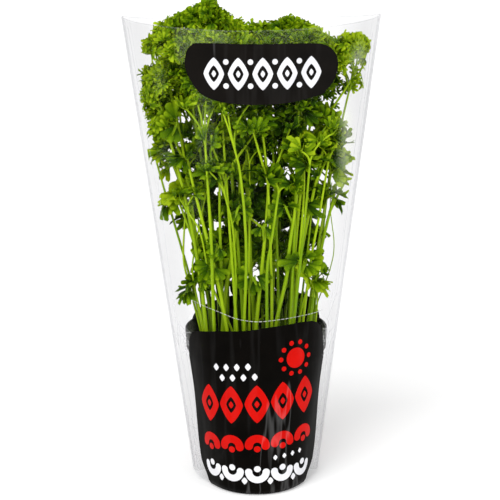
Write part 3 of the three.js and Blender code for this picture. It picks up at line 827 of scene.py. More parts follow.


# Finer stalks that stand between the others. Each has half its thickness at the foot, the points that it
# passes, the ends of its forks, how long its leaf segments are and how pale they are painted, for light and
# shade.
FINE_STALKS = [
    (1.5, [(-31, -34, 100), (-32, -36, 148), (-33, -36, 203), (-34, -37, 227), (-36, -37, 270)],
     [(-49, -34, 297), (-41, -36, 301), (-35, -38, 304), (-28, -40, 302)], 10, 0.6),
    (1.35, [(-9, -40, 100), (-9, -42, 138), (-7, -43, 185), (-8, -44, 221), (-11, -44, 253),
     (-14, -44, 267)], [(-19, -44, 294), (-4, -44, 302), (-25, -43, 303)], 10, 0.42),
    (1.0, [(-38, -6, 100), (-44, -8, 129), (-51, -8, 160), (-55, -8, 181), (-53, -8, 216),
     (-51, -8, 247)], [(-64, -8, 262), (-51, -8, 260), (-45, -8, 258)], 9, 0.3),
    (0.9, [(-35, -14, 100), (-40, -16, 128), (-46, -16, 157), (-48, -16, 175), (-45, -16, 194),
     (-38, -16, 227)], [(-44, -16, 241), (-33, -16, 243)], 8, 0.45),
    (1.0, [(-10, -26, 100), (-19, -26, 130), (-29, -26, 153), (-35, -25, 171), (-41, -24, 203),
     (-49, -24, 218)], [(-56, -22, 229), (-46, -24, 232)], 8, 0.4),
    (1.2, [(-15, -36, 100), (-16, -38, 134), (-15, -38, 161), (-15, -38, 182), (-17, -38, 212),
     (-22, -38, 234)], [(-33, -38, 252), (-19, -38, 249), (-26, -38, 252)], 8, 0.25),
    (2.0, [(-27, -20, 100), (-24, -20, 144), (-22, -20, 162), (-19, -20, 178), (-14, -20, 209),
     (-11, -20, 240)], [(-16, -20, 258), (-6, -20, 259)], 9, 0.15),
    (1.0, [(-5, -24, 100), (-5, -26, 133), (-5, -26, 182), (-4, -26, 218), (-4, -26, 254)],
     [(5, -26, 268), (-6, -26, 267)], 9, 0.15),
    (1.4, [(8, -40, 100), (8, -42, 138), (8, -42, 168), (9, -42, 186), (12, -42, 203), (17, -42, 237)],
     [(12, -42, 248), (25, -42, 242)], 10, 0.3),
    (1.7, [(12, -34, 100), (15, -34, 135), (23, -34, 172), (25, -34, 193), (29, -34, 220),
     (32, -34, 246)], [(27, -34, 266), (37, -34, 268)], 9, 0.2),
    (1.3, [(25, -36, 100), (28, -38, 136), (34, -38, 193), (37, -38, 223), (40, -38, 257)],
     [(34, -41, 267), (46, -36, 270), (58, -30, 278)], 11, 0.7),
    (1.2, [(32, -22, 100), (36, -22, 137), (42, -22, 184), (48, -22, 217), (54, -22, 254)],
     [(48, -22, 268), (60, -20, 268)], 9, 0.35),
    (1.0, [(30, -18, 100), (33, -18, 135), (39, -18, 186), (42, -18, 215)], [(38, -18, 232),
     (47, -18, 230)], 8, 0.2),
    (0.8, [(42, -14, 100), (46, -14, 135), (47, -14, 151), (46, -14, 160)], [(43, -16, 170),
     (50, -14, 169)], 7, 0.35),
    (0.5, [(42, -6, 100), (45, -6, 134), (48, -6, 146), (57, -6, 171), (60, -6, 190), (57, -6, 218),
     (58, -6, 238)], [], 8, 0.5),
    (0.9, [(18, -14, 100), (17, -14, 160), (16, -14, 230), (18, -14, 262)], [(12, -14, 275),
     (24, -14, 276)], 8, 0.15),
    (1.0, [(-38, -4, 100), (-46, -2, 180), (-60, -5, 262)], [(-68, -5, 272), (-54, -5, 274)], 8, 0.3),
    (1.0, [(36, -8, 100), (46, -8, 180), (57, -9, 244)], [(64, -8, 256), (52, -9, 258)], 8, 0.3),
    (1.1, [(-8, 8, 100), (-10, 4, 190), (-16, 4, 280)], [(-24, 4, 292), (-10, 5, 294)], 8, 0.12),
    (1.1, [(8, 12, 100), (10, 12, 190), (18, 8, 282)], [(10, 10, 294), (26, 8, 294)], 8, 0.12),
    (1.0, [(-22, 10, 100), (-22, 8, 190), (-30, 6, 276)], [(-38, 6, 288), (-24, 8, 290)], 8, 0.12),
    (1.0, [(22, 8, 100), (26, 6, 190), (34, 4, 270)], [(42, 4, 284), (28, 6, 284)], 8, 0.12),
    (1.2, [(-28, 24, 100), (-32, 24, 180), (-40, 20, 260)], [(-48, 18, 272), (-33, 22, 274)], 9, 0.3),
    (1.2, [(-12, 34, 100), (-16, 36, 180), (-14, 36, 256)], [(-22, 35, 268), (-6, 37, 270)], 9, 0.35),
    (1.2, [(6, 36, 100), (4, 38, 180), (8, 38, 250)], [(16, 37, 264), (0, 38, 264)], 9, 0.35),
    (1.2, [(28, 26, 100), (34, 28, 180), (38, 24, 262)], [(46, 20, 274), (30, 28, 274)], 9, 0.3),
    (1.0, [(38, 8, 100), (48, 8, 180), (60, 4, 256)], [(68, 4, 268), (54, 6, 270)], 8, 0.3),
]

# Rows of small leaves low in the bunch: height, how many, and how far they reach to each side and backwards
INNER_ROWS = [
    (146, 5, 34, 30), (162, 8, 38, 28), (178, 9, 40, 28), (195, 10, 42, 26), (212, 10, 44, 24),
    (229, 10, 47, 24), (246, 9, 50, 22), (262, 8, 50, 20),
]

# Other small leaves, nearer to the front
INNER_LEAVES = [
    (-30, -14, 190), (-26, -12, 172), (-36, -14, 164), (-32, -8, 210), (-43, -14, 180), (-2, -16, 264),
    (-20, -12, 270), (14, -18, 272), (30, -14, 286), (0, -20, 284), (-8, -14, 240), (22, -16, 250),
    (44, -10, 246), (38, -12, 224), (-40, -12, 238),
]

# Broad leaf segments that face the front: place, angle, length and how pale they are painted, partly as
# painted light and shade
FACING_SEGMENTS = [
    (34, -34, 183, 174, 15, 0.4), (34, -34, 184, 146, 9, 0.35), (36, -34, 184, 32, 9, 0.45),
    (37, -34, 183, 5, 15, 0.5), (37, -34, 181, -26, 14, 0.6), (36, -34, 181, -58, 10, 0.5),
    (-54, -17, 228, 160, 22, 0.85), (-54, -17, 227, 190, 16, 0.7), (-52, -17, 229, 110, 9, 0.5),
    (-46, -12, 163, 150, 9, 0.4), (-46, -12, 163, 200, 8, 0.3), (-46, -12, 163, 95, 7, 0.3),
    (-3, -34, 172, 215, 12, 0.3), (-3, -34, 173, 160, 11, 0.35), (-2, -34, 172, 285, 12, 0.25),
    (-1, -34, 173, 340, 11, 0.3), (-33, -32, 180, 190, 12, 0.35), (-33, -32, 180, 245, 13, 0.3),
    (-32, -32, 180, 310, 12, 0.35), (-32, -32, 181, 75, 9, 0.4), (-28, -34, 197, 150, 9, 0.3),
    (-28, -34, 197, 210, 10, 0.3), (-27, -34, 196, 280, 9, 0.25), (-12, -34, 226, 40, 10, 0.25),
    (-12, -34, 225, 330, 11, 0.3), (-13, -34, 225, 250, 9, 0.25), (6, -34, 212, 30, 9, 0.3),
    (6, -34, 211, 320, 10, 0.3), (5, -34, 211, 230, 9, 0.25), (22, -34, 226, 160, 11, 0.35),
    (22, -34, 225, 215, 10, 0.3), (23, -34, 225, 20, 9, 0.35), (-58, -22, 286, 165, 17, 0.5),
    (-58, -22, 286, 205, 17, 0.45), (-57, -22, 286, 245, 15, 0.35), (-57, -22, 287, 120, 14, 0.5),
    (57, -14, 262, 12, 12, 0.85), (57, -14, 262, -30, 12, 0.8), (56, -14, 262, 60, 11, 0.7),
    (56, -14, 244, -15, 12, 0.85),
]

# Tufts that fill the crown
CROWN_TUFTS = [
    (-73, -4, 336), (-66, -8, 345), (-62, 0, 353), (-56, -6, 356), (-49, 2, 361), (-43, -4, 364),
    (-36, 0, 367), (-28, -4, 366), (-74, -3, 316), (-73, -4, 300), (-17, -10, 350), (-8, -6, 346),
    (2, -6, 345), (11, -8, 349), (19, 2, 355), (26, -6, 358), (36, -6, 352), (46, -6, 344), (54, -6, 336),
    (-34, 12, 360), (-12, 14, 343), (8, 16, 343), (-58, 12, 342), (38, 14, 343), (-20, -30, 322),
    (6, -32, 318), (30, -28, 322), (-44, -24, 312), (60, 6, 322), (-52, -16, 342), (-39, -23, 345),
    (-25, -27, 342), (-10, -28, 339), (4, -28, 338), (18, -26, 342), (32, -22, 344), (46, -17, 338),
    (64, -10, 339), (71, -8, 341), (78, -4, 339), (84, 0, 335), (74, -8, 332), (67, -8, 330),
]


def through(points, count):
    """A smooth line through points."""
    points = np.array(points, float)
    run = np.concatenate([[2 * points[0] - points[1]], points, [2 * points[-1] - points[-2]]])
    place = np.linspace(0, len(points) - 1, count)
    span = np.minimum(place.astype(int), len(points) - 2)
    return spline(*(run[span + k] for k in range(4)), (place - span)[:, None])


# The fine stalks' points, how they taper, how far they keep from the film, their forks' taper and seed
FINE_POINTS = 33
FINE_TAPER = 0.6
FINE_MARGIN = 0.4
FORK_TAPER = (0.62, 0.4)
FORK_LEAST = 0.15
FINE_SEED = 99


def add_fine_stalks(materials):
    """Gives back the stalks' lines."""
    rng = np.random.default_rng(SEED + FINE_SEED)
    patches = Patches()
    lines = []
    for thick, points, ends, size, shade in FINE_STALKS:
        path = held(through(points, FINE_POINTS), thick + FINE_MARGIN)
        lines.append(path)
        along = np.linspace(0, 1, FINE_POINTS)[:, None]
        patches.add_tube(path, thick, FINE_TAPER * thick, 8, rng.uniform(0.45, 0.95), along)
        rise = unit(path[-1] - path[-4])
        for end in ends:
            end = held(end, 2)
            middle = path[-1] + rise * 0.5 * np.linalg.norm(end - path[-1])
            thin = FORK_TAPER[1] * thick + FORK_LEAST
            patches.add_branch([path[-1] - rise, middle, end], 9, FORK_TAPER[0] * thick, thin, 6,
                               rng.uniform(0.5, 0.95), 0.8)
            rosette(patches, end, unit(end - middle), 5, size, rng, shade, droop=0.15, reach=(0.2, 0.6),
                    ruffle=0.22, **OPEN_FORM)
    ride(patches.build("fine_stalks", materials))
    return lines


def bearing_point(point, lines, drop):
    """The place on the nearest stalk that a branch to a point grows from."""
    spots = np.concatenate(lines)
    spots = spots[(spots[:, 2] < point[2] - drop) & (spots[:, 2] > point[2] - 3 * drop)]
    return spots[np.argmin(np.linalg.norm(spots - point, axis=1))]


# The way from stalk to leaf at which a fine branch bends, along x, y and z
FINE_BEND = np.array([0.65, 0.65, 0.4])


def add_borne_leaves(name, seed, places, lines, drop, grow, materials):
    """Leaves on fine branches of the stalks. grow adds the leaf at each branch's end."""
    rng = np.random.default_rng(seed)
    patches = Patches()
    for place in places:
        end = held(place[:3], 3)
        start = bearing_point(end, lines, drop)
        bend = mix(start, end, FINE_BEND)
        patches.add_branch([start, bend, end], 9, 0.85, 0.55, 6, 0.5, 0.7)
        grow(patches, end, unit(end - bend), place, rng)
    ride(patches.build(name, materials))


def inner_places():
    """The small leaves' places, row by row and then those nearer to the front."""
    rng = np.random.default_rng(SEED + 7)
    places = []
    for height, number, reach, back in INNER_ROWS:
        for k in range(number):
            x = reach * (2 * (k + 0.5) / number - 1) + rng.uniform(-3, 3)
            places.append((x, rng.uniform(-6, back), height + rng.uniform(-8, 8)))
    return places + INNER_LEAVES


def grow_inner_leaf(patches, end, axis, place, rng):
    # Painted shade: inner leaves are dark, and those near the front or back film painted paler
    shade = rng.uniform(0.02, 0.2) + (0.3 if place[1] < -10 or place[1] > 22 else 0)
    rosette(patches, end, axis, 7, rng.uniform(9, 12), rng, shade, droop=0.6, reach=(0.3, 1.0), ruffle=0.25,
            **OPEN_FORM)


def grow_tuft(patches, end, axis, place, rng):
    shade = painted_light_and_shade_at(end) + rng.uniform(-0.2, 0.2)
    rosette(patches, end, axis, TUFT_COUNT, TUFT_SIZE, rng, shade, droop=0.25)


def add_facing_leaves(lines, materials):
    rng = np.random.default_rng(SEED + 3)
    patches = Patches()
    for x, y, z, degrees, size, shade in FACING_SEGMENTS:
        root = held([x, y, z], 3)
        angle = math.radians(degrees)
        way = unit(np.array([math.cos(angle), rng.uniform(-0.25, 0.1), math.sin(angle)]))
        flank = turned_about(unit(np.cross([0, 1, 0], way)), way, rng.uniform(-0.4, 0.4))
        stemmed_fan(patches, root, root + way * 0.15 * size, way, flank, size, rng, thick=0.55, tone=shade,
                    curl=rng.uniform(0.1, 0.35), ruffle=0.12, **FACING_FORM)
        start = bearing_point(root, lines, 12)
        bend = mix(start, root, 0.5) + [0, 0, -3]
        patches.add_branch([start, bend, root], 9, 0.8, 0.6, 6, 0.5, 0.7)
    ride(patches.build("facing_leaves", materials))


# Materials

class Shading:
    """The shader nodes of a material or of the world, added call by call."""

    def __init__(self, owner):
        owner.use_nodes = True
        self.owner = owner
        self.nodes = owner.node_tree.nodes
        self.links = owner.node_tree.links

    def fill(self, node, sockets):
        """Puts values into a node's sockets, or links them to outputs."""
        for key, value in sockets.items():
            if isinstance(value, bpy.types.NodeSocket):
                self.links.new(value, node.inputs[key])
            else:
                node.inputs[key].default_value = value

    def add(self, kind, sockets, output=0, **settings):
        """A new node. Gives back one of its outputs."""
        node = self.nodes.new(kind)
        for key, value in settings.items():
            setattr(node, key, value)
        self.fill(node, sockets)
        return node.outputs[output]

    def attribute(self, name):
        return self.add("ShaderNodeAttribute", {}, "Fac", attribute_name=name)

    def noise(self, scale, detail, stretch=(1, 1, 1), lean=0.0):
        place = self.add("ShaderNodeTexCoord", {}, "Object")
        place = self.add("ShaderNodeMapping", {"Vector": place, "Scale": stretch, "Rotation": (0, lean, 0)})
        return self.add("ShaderNodeTexNoise", {"Vector": place, "Scale": scale, "Detail": detail}, "Fac")

    def ramp(self, value, stops):
        """A colour ramp. Each stop has its place and a colour, or a number for a grey."""
        colour = self.add("ShaderNodeValToRGB", {"Fac": value}, "Color")
        elements = colour.node.color_ramp.elements
        while len(elements) < len(stops):
            elements.new(0.5)
        for element, (place, tint) in zip(elements, stops):
            element.position = place
            element.color = (*tint, 1) if isinstance(tint, tuple) else (tint, tint, tint, 1)
        return colour

    def maths(self, operation, *values):
        return self.add("ShaderNodeMath", dict(enumerate(values)), operation=operation)

    def total(self, terms, less):
        """The sum of outputs or attributes, each times its weight, less a number."""
        value = -less
        for term, weight in terms:
            term = self.attribute(term) if isinstance(term, str) else term
            value = self.maths("MULTIPLY_ADD", term, weight, value)
        return value

    def blend(self, way, first, second):
        """Two colours, added or multiplied."""
        return self.add("ShaderNodeMix", {"Factor": 1, "A": first, "B": second}, "Result",
                        data_type="RGBA", blend_type=way)

    def bump(self, height, strength, distance):
        return self.add("ShaderNodeBump", {"Height": height, "Strength": strength, "Distance": distance})

    def principled(self, colour, roughness, specular, **others):
        shader = self.nodes["Principled BSDF"]
        values = {"Base Color": colour, "Roughness": roughness, "Specular IOR Level": specular}
        self.fill(shader, {**values, **others})
        return shader.outputs[0]

    def mixed(self, share, first, second):
        """Two shaders mixed. The share is the second one's."""
        return self.add("ShaderNodeMixShader", {"Fac": share, 1: first, 2: second})

    def surface(self, shader):
        self.fill(self.nodes["Material Output"], {"Surface": shader})


def new_material(name):
    return Shading(bpy.data.materials.new(name))


# How much of the light on a leaf comes through it, and its colour
LEAF_GLOW = (1.9, 1.6, 0.2, 1)
LEAF_THROUGH = 0.2


def leaf_material():
    """Leaf blade: painted shade at its roots, painted light at the fingers' ends, and light that comes
    through.
    """
    shading = new_material("curly leaf")
    grain = shading.noise(scale=900, detail=4)
    # Painted light and shade: the place in the bunch, the root and the raised folds set how pale; grain is
    # the leaf's own
    value = shading.total([("tone", 0.75), ("tip", 0.6), ("fold", 0.42), (grain, 0.3)], less=0.485)
    colour = shading.ramp(value, [
        (0.0, (0.006, 0.020, 0.0003)), (0.3, (0.035, 0.095, 0.0008)), (0.65, (0.15, 0.275, 0.002)),
        (1.0, (0.40, 0.56, 0.012)),
    ])
    relief = shading.bump(grain, strength=0.5, distance=0.0006)
    blade = shading.principled(colour, roughness=0.55, specular=0.04, Normal=relief)
    glow = shading.blend("MULTIPLY", colour, LEAF_GLOW)
    through_blade = shading.add("ShaderNodeBsdfTranslucent", {"Color": glow})
    shading.surface(shading.mixed(LEAF_THROUGH, blade, through_blade))
    return shading.owner


def stalk_material():
    shading = new_material("leaf stalk")
    streaks = shading.noise(scale=700, detail=3, stretch=(1, 1, 0.05))
    blotches = shading.noise(scale=25, detail=2)
    # Painted shade: darker towards the foot, and paler for stalks at the front; streaks and blotches are
    # the stalks' own
    value = shading.total([(streaks, 0.5), ("tone", 1), (blotches, 0.4), ("tip", 0.35)], less=0.6)
    colour = shading.ramp(value, [
        (0.0, (0.04, 0.085, 0.001)), (0.4, (0.16, 0.29, 0.002)), (1.0, (0.39, 0.57, 0.010)),
    ])
    relief = shading.bump(streaks, strength=0.6, distance=0.0004)
    shading.principled(colour, roughness=0.42, specular=0.1, Normal=relief)
    return shading.owner


greens = [leaf_material(), stalk_material()]
for leaf in leaves:
    add_leaf(leaf, greens)
stalk_lines = add_fine_stalks(greens)
stalk_lines += [bezier(leaf["curves"][0], np.linspace(0.1, 0.97, 40)) for leaf in leaves]
add_borne_leaves("inner_leaves", SEED + 12, inner_places(), stalk_lines, 9, grow_inner_leaf, greens)
add_facing_leaves(stalk_lines, greens)
add_borne_leaves("crown_tufts", SEED + 11, CROWN_TUFTS, stalk_lines, 14, grow_tuft, greens)


# The film
FILM_COLUMNS = 80
FILM_ROWS = 96
FILM_GROW = 0.25
STRIP_GROW = 0.32


def film_heights(share, front):
    sine = np.sin(np.pi * share)
    bottom = SLEEVE_BOTTOM + SLEEVE_CORNER_LIFT * (1 - sine) ** 2
    return bottom, SLEEVE_TOP - (FRONT_DIP if front else BACK_DIP) * sine


def film_share(x, z):
    """How far along a film a point is, from 0 at the left corner to 1 at the right one."""
    across = np.clip(x / sleeve_reach(x, z), -1, 1)
    return np.arccos(-across) / np.pi


def on_film(x, z, front, grow):
    y = sleeve_half_depth(x, z, grow)
    return np.stack([x, -y if front else y, z], axis=-1)


def film_side(front):
    """A grid over one film, from corner to corner."""
    share = 0.5 - 0.5 * np.cos(np.pi * np.linspace(0, 1, FILM_COLUMNS + 1))
    bottom, top = film_heights(share, front)
    z = bottom + (top - bottom) * np.linspace(0, 1, FILM_ROWS + 1)[:, None]
    across = -np.cos(np.pi * share)[None, :] * np.ones_like(z)
    x = across * (sleeve_reach(across, z) + SEAM_RATIO * FILM_GROW)
    grid = on_film(x, z, front, FILM_GROW)
    grid[:, [0, -1], 1] = 0
    return grid


# Painted highlights on the front film where leaves press on it, and over the pot's lip: x, z, radius
# across, radius up and strength
CONTACT_HIGHLIGHTS = [
    (77, 334, 5, 7, 0.5), (68, 286, 3.5, 11, 0.8), (67, 258, 4, 10, 0.75), (70, 272, 4, 7, 0.6),
    (64, 238, 5, 6, 0.5), (-70, 318, 4, 9, 0.1), (-66, 262, 5, 8, 0.1), (-44, 226, 6, 7, 0.05),
    (-38, 262, 7, 4, 0.08), (-50, 128, 3, 10, 0.1), (52, 126, 2.5, 12, 0.1),
]

# Painted reflections of the room on the film: two x, two z, how soft the sides are and strength
ROOM_REFLECTIONS = [(-56, -18, 333, 362, 2.5, 0.16), (-42, -30, 266, 333, 3, 0.06), (-10, 62, 345, 360, 6, 0.07)]
REFLECTION_SOFT_FOOT = 5
REFLECTION_SOFT_TOP = 2

# Folds of the film, drawn as thin lines of painted shade and highlight: shares of the way from the middle
# to the corner, with heights
FOLDS = [
    [(-0.82, 46), (-0.99, 45)], [(0.84, 43), (0.98, 46)], [(-0.86, 122), (-0.99, 118)],
    [(0.85, 121), (0.97, 126)], [(-0.85, 116), (-0.83, 70), (-0.85, 16)],
    [(-0.93, 110), (-0.89, 62), (-0.93, 20)], [(-0.90, 240), (-0.93, 130)],
    [(0.86, 114), (0.83, 66), (0.86, 18)], [(0.93, 116), (0.90, 70), (0.94, 30)],
    [(0.92, 300), (0.94, 150)], [(0.80, 134), (0.86, 126), (0.84, 118)], [(0.88, 134), (0.84, 129)],
    [(0.90, 124), (0.86, 112)], [(0.83, 40), (0.9, 24)], [(-0.96, 356), (-0.93, 250)],
    [(0.95, 350), (0.97, 220)],
]
FOLD_WIDTH = 0.45

# Creases of the film beside the pot's lip, over it and beside its foot, drawn as lines of painted shade and
# painted highlight: two heights, two shares of the way to the corner, how many, how long and how far from
# upright
CRUSHED = [
    (98, 150, 0.88, 0.985, 7, 16, 0.4),
    (106, 134, 0.785, 0.87, 16, 7, 1.2),
    (8, 60, 0.85, 0.985, 9, 16, 0.4),
]

# About how far out the corner is, which turns a crease's width into a share, and how creases vary
CORNER_OUT = 60
CREASE_LENGTHS = (0.3, 0.7)
CREASE_BEND = 0.01
CREASE_SEED = 17
CREASE_EDGE = 0.99

# The welded sides: the heights that they run between, the weld's width and the line beside it on the front
WELD_BOTTOM = 9.5
WELD_TOP = SLEEVE_TOP - 0.3
WELD_WIDTH = 1.3
WELD_LINE = (6.05, 6.3)
RIM_WIDTH = 0.7
RIM_ENDS = (0.004, 0.996)


# Painted highlights and reflections on the front film, as an amount of haze at each point
def painted_highlights(grid):
    x, z = grid[..., 0], grid[..., 2]
    value = np.zeros(grid.shape[:2])
    for place_x, place_z, wide, high, strength in CONTACT_HIGHLIGHTS:
        value += strength * np.exp(-((x - place_x) / wide) ** 2 - ((z - place_z) / high) ** 2)
    for left, right, low, high, soft, strength in ROOM_REFLECTIONS:
        across = smooth(left - soft, left + soft, x) * (1 - smooth(right - soft, right + soft, x))
        foot = smooth(low - REFLECTION_SOFT_FOOT, low + REFLECTION_SOFT_FOOT, z)
        value += strength * across * foot * (1 - smooth(high - REFLECTION_SOFT_TOP, high + REFLECTION_SOFT_TOP, z))
    return np.clip(value, 0, 1)


def fin_share(grid):
    return smooth(0.6, 0.9, np.abs(grid[..., 0]) / sleeve_reach(grid[..., 0], grid[..., 2]))


def seam_grid(side, inner, outer, front):
    """A narrow strip along a welded side, between two distances in from the corner."""
    z = np.linspace(WELD_BOTTOM, WELD_TOP, 90)[:, None]
    inward = np.linspace(outer, inner, 3)[None, :]
    x = side * (sleeve_reach(side, z) - inward)
    return on_film(x, z + 0 * x, front, STRIP_GROW)


def rim_grid(front):
    """A narrow strip along the top edge of a film."""
    share = np.linspace(*RIM_ENDS, 120)[None, :]
    top = film_heights(share, front)[1]
    z = top - np.array([[RIM_WIDTH], [0.0]])
    across = -np.cos(np.pi * share)
    x = across * sleeve_reach(across, z) * np.ones_like(z)
    return on_film(x, z, front, STRIP_GROW)


def fold_grid(points):
    """A narrow strip along a fold of the front film."""
    along = np.linspace(0, 1, len(points))
    across, z = (np.interp(np.linspace(0, 1, 15), along, row) for row in zip(*points))
    x = across * sleeve_reach(across, z)
    band = ribbon(np.stack([x, z], axis=1), FOLD_WIDTH, 1)
    return on_film(band[..., 0], band[..., 1], True, STRIP_GROW)


def creases(rng):
    for side in (-1, 1):
        for low, high, inner, outer, count, length, lean in CRUSHED:
            for _ in range(count):
                across, z = side * rng.uniform(inner, outer), rng.uniform(low, high)
                angle = rng.uniform(-lean, lean)
                step = np.array([math.sin(angle) / CORNER_OUT, math.cos(angle)])
                step = step * length * rng.uniform(*CREASE_LENGTHS)
                middle = [across + rng.uniform(-CREASE_BEND, CREASE_BEND), z]
                points = np.array([[across, z] - step, middle, [across, z] + step])
                points[:, 0] = np.clip(points[:, 0], -CREASE_EDGE, CREASE_EDGE)
                yield points


# Painted shade: the film's sides, where no leaves are behind it, are tinted a little darker than its middle
FIN_PAINTED_SHADE = (0.93, 0.93, 0.932)
FILM_ROUGHNESS = 0.16

# How much of what the film sends back is haze, and how much haze the painted highlights and reflections
# make
HAZE_SHARE = 0.75
HIGHLIGHT_HAZE = 0.7


def film_material(name, haze_amounts, tints, haze_colour):
    """Clear film: it dims what is behind it a little, shines, and has a thin uneven haze."""
    shading = new_material(name)
    shading.nodes.remove(shading.nodes["Principled BSDF"])
    # Painted shade: darker streaks in the tint stand for the film's wrinkles, and its sides are tinted
    # darker
    streaks = shading.noise(scale=20, detail=5, stretch=(1.6, 1.6, 0.22))
    tint = shading.ramp(streaks, [(0.35, tints[0]), (0.65, tints[1])])
    painted_fin_shade = shading.ramp(shading.attribute("tip"), [(0.0, 1), (1.0, FIN_PAINTED_SHADE)])
    clear = shading.add("ShaderNodeBsdfTransparent", {"Color": shading.blend("MULTIPLY", tint, painted_fin_shade)})
    shine = shading.add("ShaderNodeBsdfGlossy", {"Roughness": FILM_ROUGHNESS, "Color": (1, 1, 1, 1)})
    haze = shading.add("ShaderNodeBsdfDiffuse", {"Color": haze_colour})
    clouds = shading.noise(scale=14, detail=4, stretch=(1.5, 1.5, 0.5))
    amount = shading.ramp(clouds, [(0.4, haze_amounts[0]), (0.75, haze_amounts[1])])
    # Painted highlights and reflections: haze where the mesh marks them, broken up by noise
    patchy_highlight = shading.maths("MULTIPLY", shading.attribute("tone"), shading.noise(scale=70, detail=2))
    amount = shading.maths("MULTIPLY_ADD", patchy_highlight, HIGHLIGHT_HAZE, amount)
    shading.surface(shading.mixed(amount, clear, shading.mixed(HAZE_SHARE, shine, haze)))
    return shading.owner


def add_sleeve():
    # The clear film's haze is greenish, so that painted highlights over the leaves look green
    film = film_material("clear film", (0.0, 0.005), ((0.91, 0.91, 0.912), (0.955, 0.955, 0.957)),
                         (0.78, 0.86, 0.56, 1))
    weld = film_material("film weld", (0.03, 0.08), ((0.90, 0.90, 0.91), (0.95, 0.95, 0.96)),
                         (0.9, 0.9, 0.92, 1))
    # Crease lines get a darker tint as painted shade
    crease = film_material("film crease", (0.0, 0.02), ((0.70, 0.70, 0.71), (0.82, 0.82, 0.83)),
                           (0.9, 0.9, 0.92, 1))
    patches = Patches()
    front, back = film_side(True), film_side(False)[:, ::-1]
    patches.add(front, 0, tone=painted_highlights(front), tip=fin_share(front))
    patches.add(back, 0, tone=0.0, tip=fin_share(back))
    for side in (-1, 1):
        for front in (True, False):
            patches.add(seam_grid(side, WELD_WIDTH, 0.0, front), 1, tone=0.0)
        patches.add(seam_grid(side, WELD_LINE[1], WELD_LINE[0], True), 1, tone=0.0)
    for front in (True, False):
        patches.add(rim_grid(front), 1, tone=0.0)
    # Fold and crease lines: painted shade in their darker tint and painted highlight in their haze
    for fold in FOLDS:
        patches.add(fold_grid(fold), 1, tone=0.2)
    for number, points in enumerate(creases(np.random.default_rng(CREASE_SEED))):
        patches.add(fold_grid(points), 1 + number % 2, tone=0.7)
    ride(patches.build("film_sleeve", [film, weld, crease]), ["sleeve"])


# What is printed on the film. Front and back each have a dark panel round the pot, with plain ornament.
PANEL_EDGE = 0.93
PANEL_FOOT = 4.0
PANEL_TOP = [
    (-0.93, 108), (-0.92, 119), (-0.9, 125), (-0.86, 128.5), (-0.78, 131), (-0.5, 134.5), (-0.15, 136.3),
    (0.2, 139), (0.58, 140), (0.75, 138.7), (0.83, 136), (0.885, 131), (0.91, 122), (0.93, 108),
]
LOZENGE = [
    (-50, 333), (-48.5, 340), (-45, 344.3), (-38.6, 346), (-3, 345.6), (40, 345), (51, 343.5), (58, 338.5),
    (61, 330), (58.7, 319), (53, 311.5), (47.5, 307.6), (26, 303.6), (1, 302.6), (-18, 303.6), (-32, 306.5),
    (-40, 311), (-46, 319), (-49.4, 326.5),
]

# How much wider than the pot's front the panel is near the bottom, where the film stands off the pot
PANEL_SPREAD = 5.0
SPREAD_BEGINS = (4, 22)
SPREAD_ENDS = (24, 92)
PANEL_LIFT = 0.4
PANEL_GRID = (81, 71)

# Inks, and how far each layer stands off the film's middle
BLACK = 0
RED = 1
WHITE = 2
LABEL = 3
CUT = 4
PRINT_GROW = {BLACK: 0.42, RED: 0.55, WHITE: 0.55, LABEL: 0.42, CUT: 0.4}

# How pointed the forms are: a circle, and a diamond with soft corners
ROUND = 2.0
DIAMOND = 1.3

# The ornament in rows: its form, the first one's place, the step to the next, how many there are, half its
# width and height, its ink, and the width of its line, which is 0 where it is filled
PANEL_ROWS = [
    ("diamond", (-32, 106), (8.5, 0.8), 4, (2.2, 2.9), WHITE, 0),
    ("diamond", (-27, 98), (8.5, 0.8), 4, (2.2, 2.9), WHITE, 0),
    ("dot", (31, 113), (0, 0), 1, (8, 8), RED, 0),
    ("diamond", (-40, 74.8), (20, 1.6), 5, (9.4, 15.5), RED, 5.4),
    ("diamond", (-40, 74.8), (20, 1.6), 5, (1.9, 2.9), RED, 0),
    ("arch", (-40, 39.8), (20, 1.6), 5, (6.4, 6.4), RED, 6.4),
    ("dot", (-40, 37.3), (20, 1.6), 5, (2.6, 2.6), RED, 0),
    ("arch", (-40, 21), (20, 0), 5, (6.7, -6.7), WHITE, 5.6),
    ("dot", (-40, 23.5), (20, 0), 5, (2.6, 2.6), WHITE, 0),
    ("diamond", (-30, 13), (20, 0), 4, (2.3, 3.0), WHITE, 0),
    ("diamond", (14, 32.5), (7.5, 0.5), 4, (1.7, 2.2), WHITE, 0),
]
LABEL_ROWS = [
    ("diamond", (-29, 324.5), (17.5, 0), 5, (7.4, 11.5), WHITE, 3.6),
    ("diamond", (-29, 324.5), (17.5, 0), 5, (1.6, 2.5), WHITE, 0),
    ("dot", (-20.25, 333), (17.5, 0), 4, (2.0, 2.0), WHITE, 0),
    ("dot", (-20.25, 316), (17.5, 0), 4, (2.0, 2.0), WHITE, 0),
]

# The dots round the red disc
DISC = (31, 113)
DISC_DOTS = 10
DISC_REACH = 12.5
DISC_DOT = (1.9, 1.9)

# A row of short cuts across the film above the pot
TEAR_LINE = [
    (-49, 153.4), (-40, 151.8), (-27, 149.1), (-15, 145), (0, 143.1), (15, 144), (32, 144.6), (45, 144.2),
    (51, 143.6),
]
TEAR_ENDS = (-49, 51)
TEAR_POINTS = 400
TEAR_SOFTNESS = 20
CUT_STEP = 3.4
CUT_LENGTH = 2.3
CUT_WIDTH = 0.38


def unrolled(points, front, grow):
    """Flat artwork, as distance round the pot and height, laid on the film."""
    s, z = points[..., 0], points[..., 1]
    radius = sleeve_round(z)
    return on_film(radius * np.sin(s / radius), z, front, grow)


def facing(points, front, grow):
    return on_film(points[..., 0], points[..., 1], front, grow)


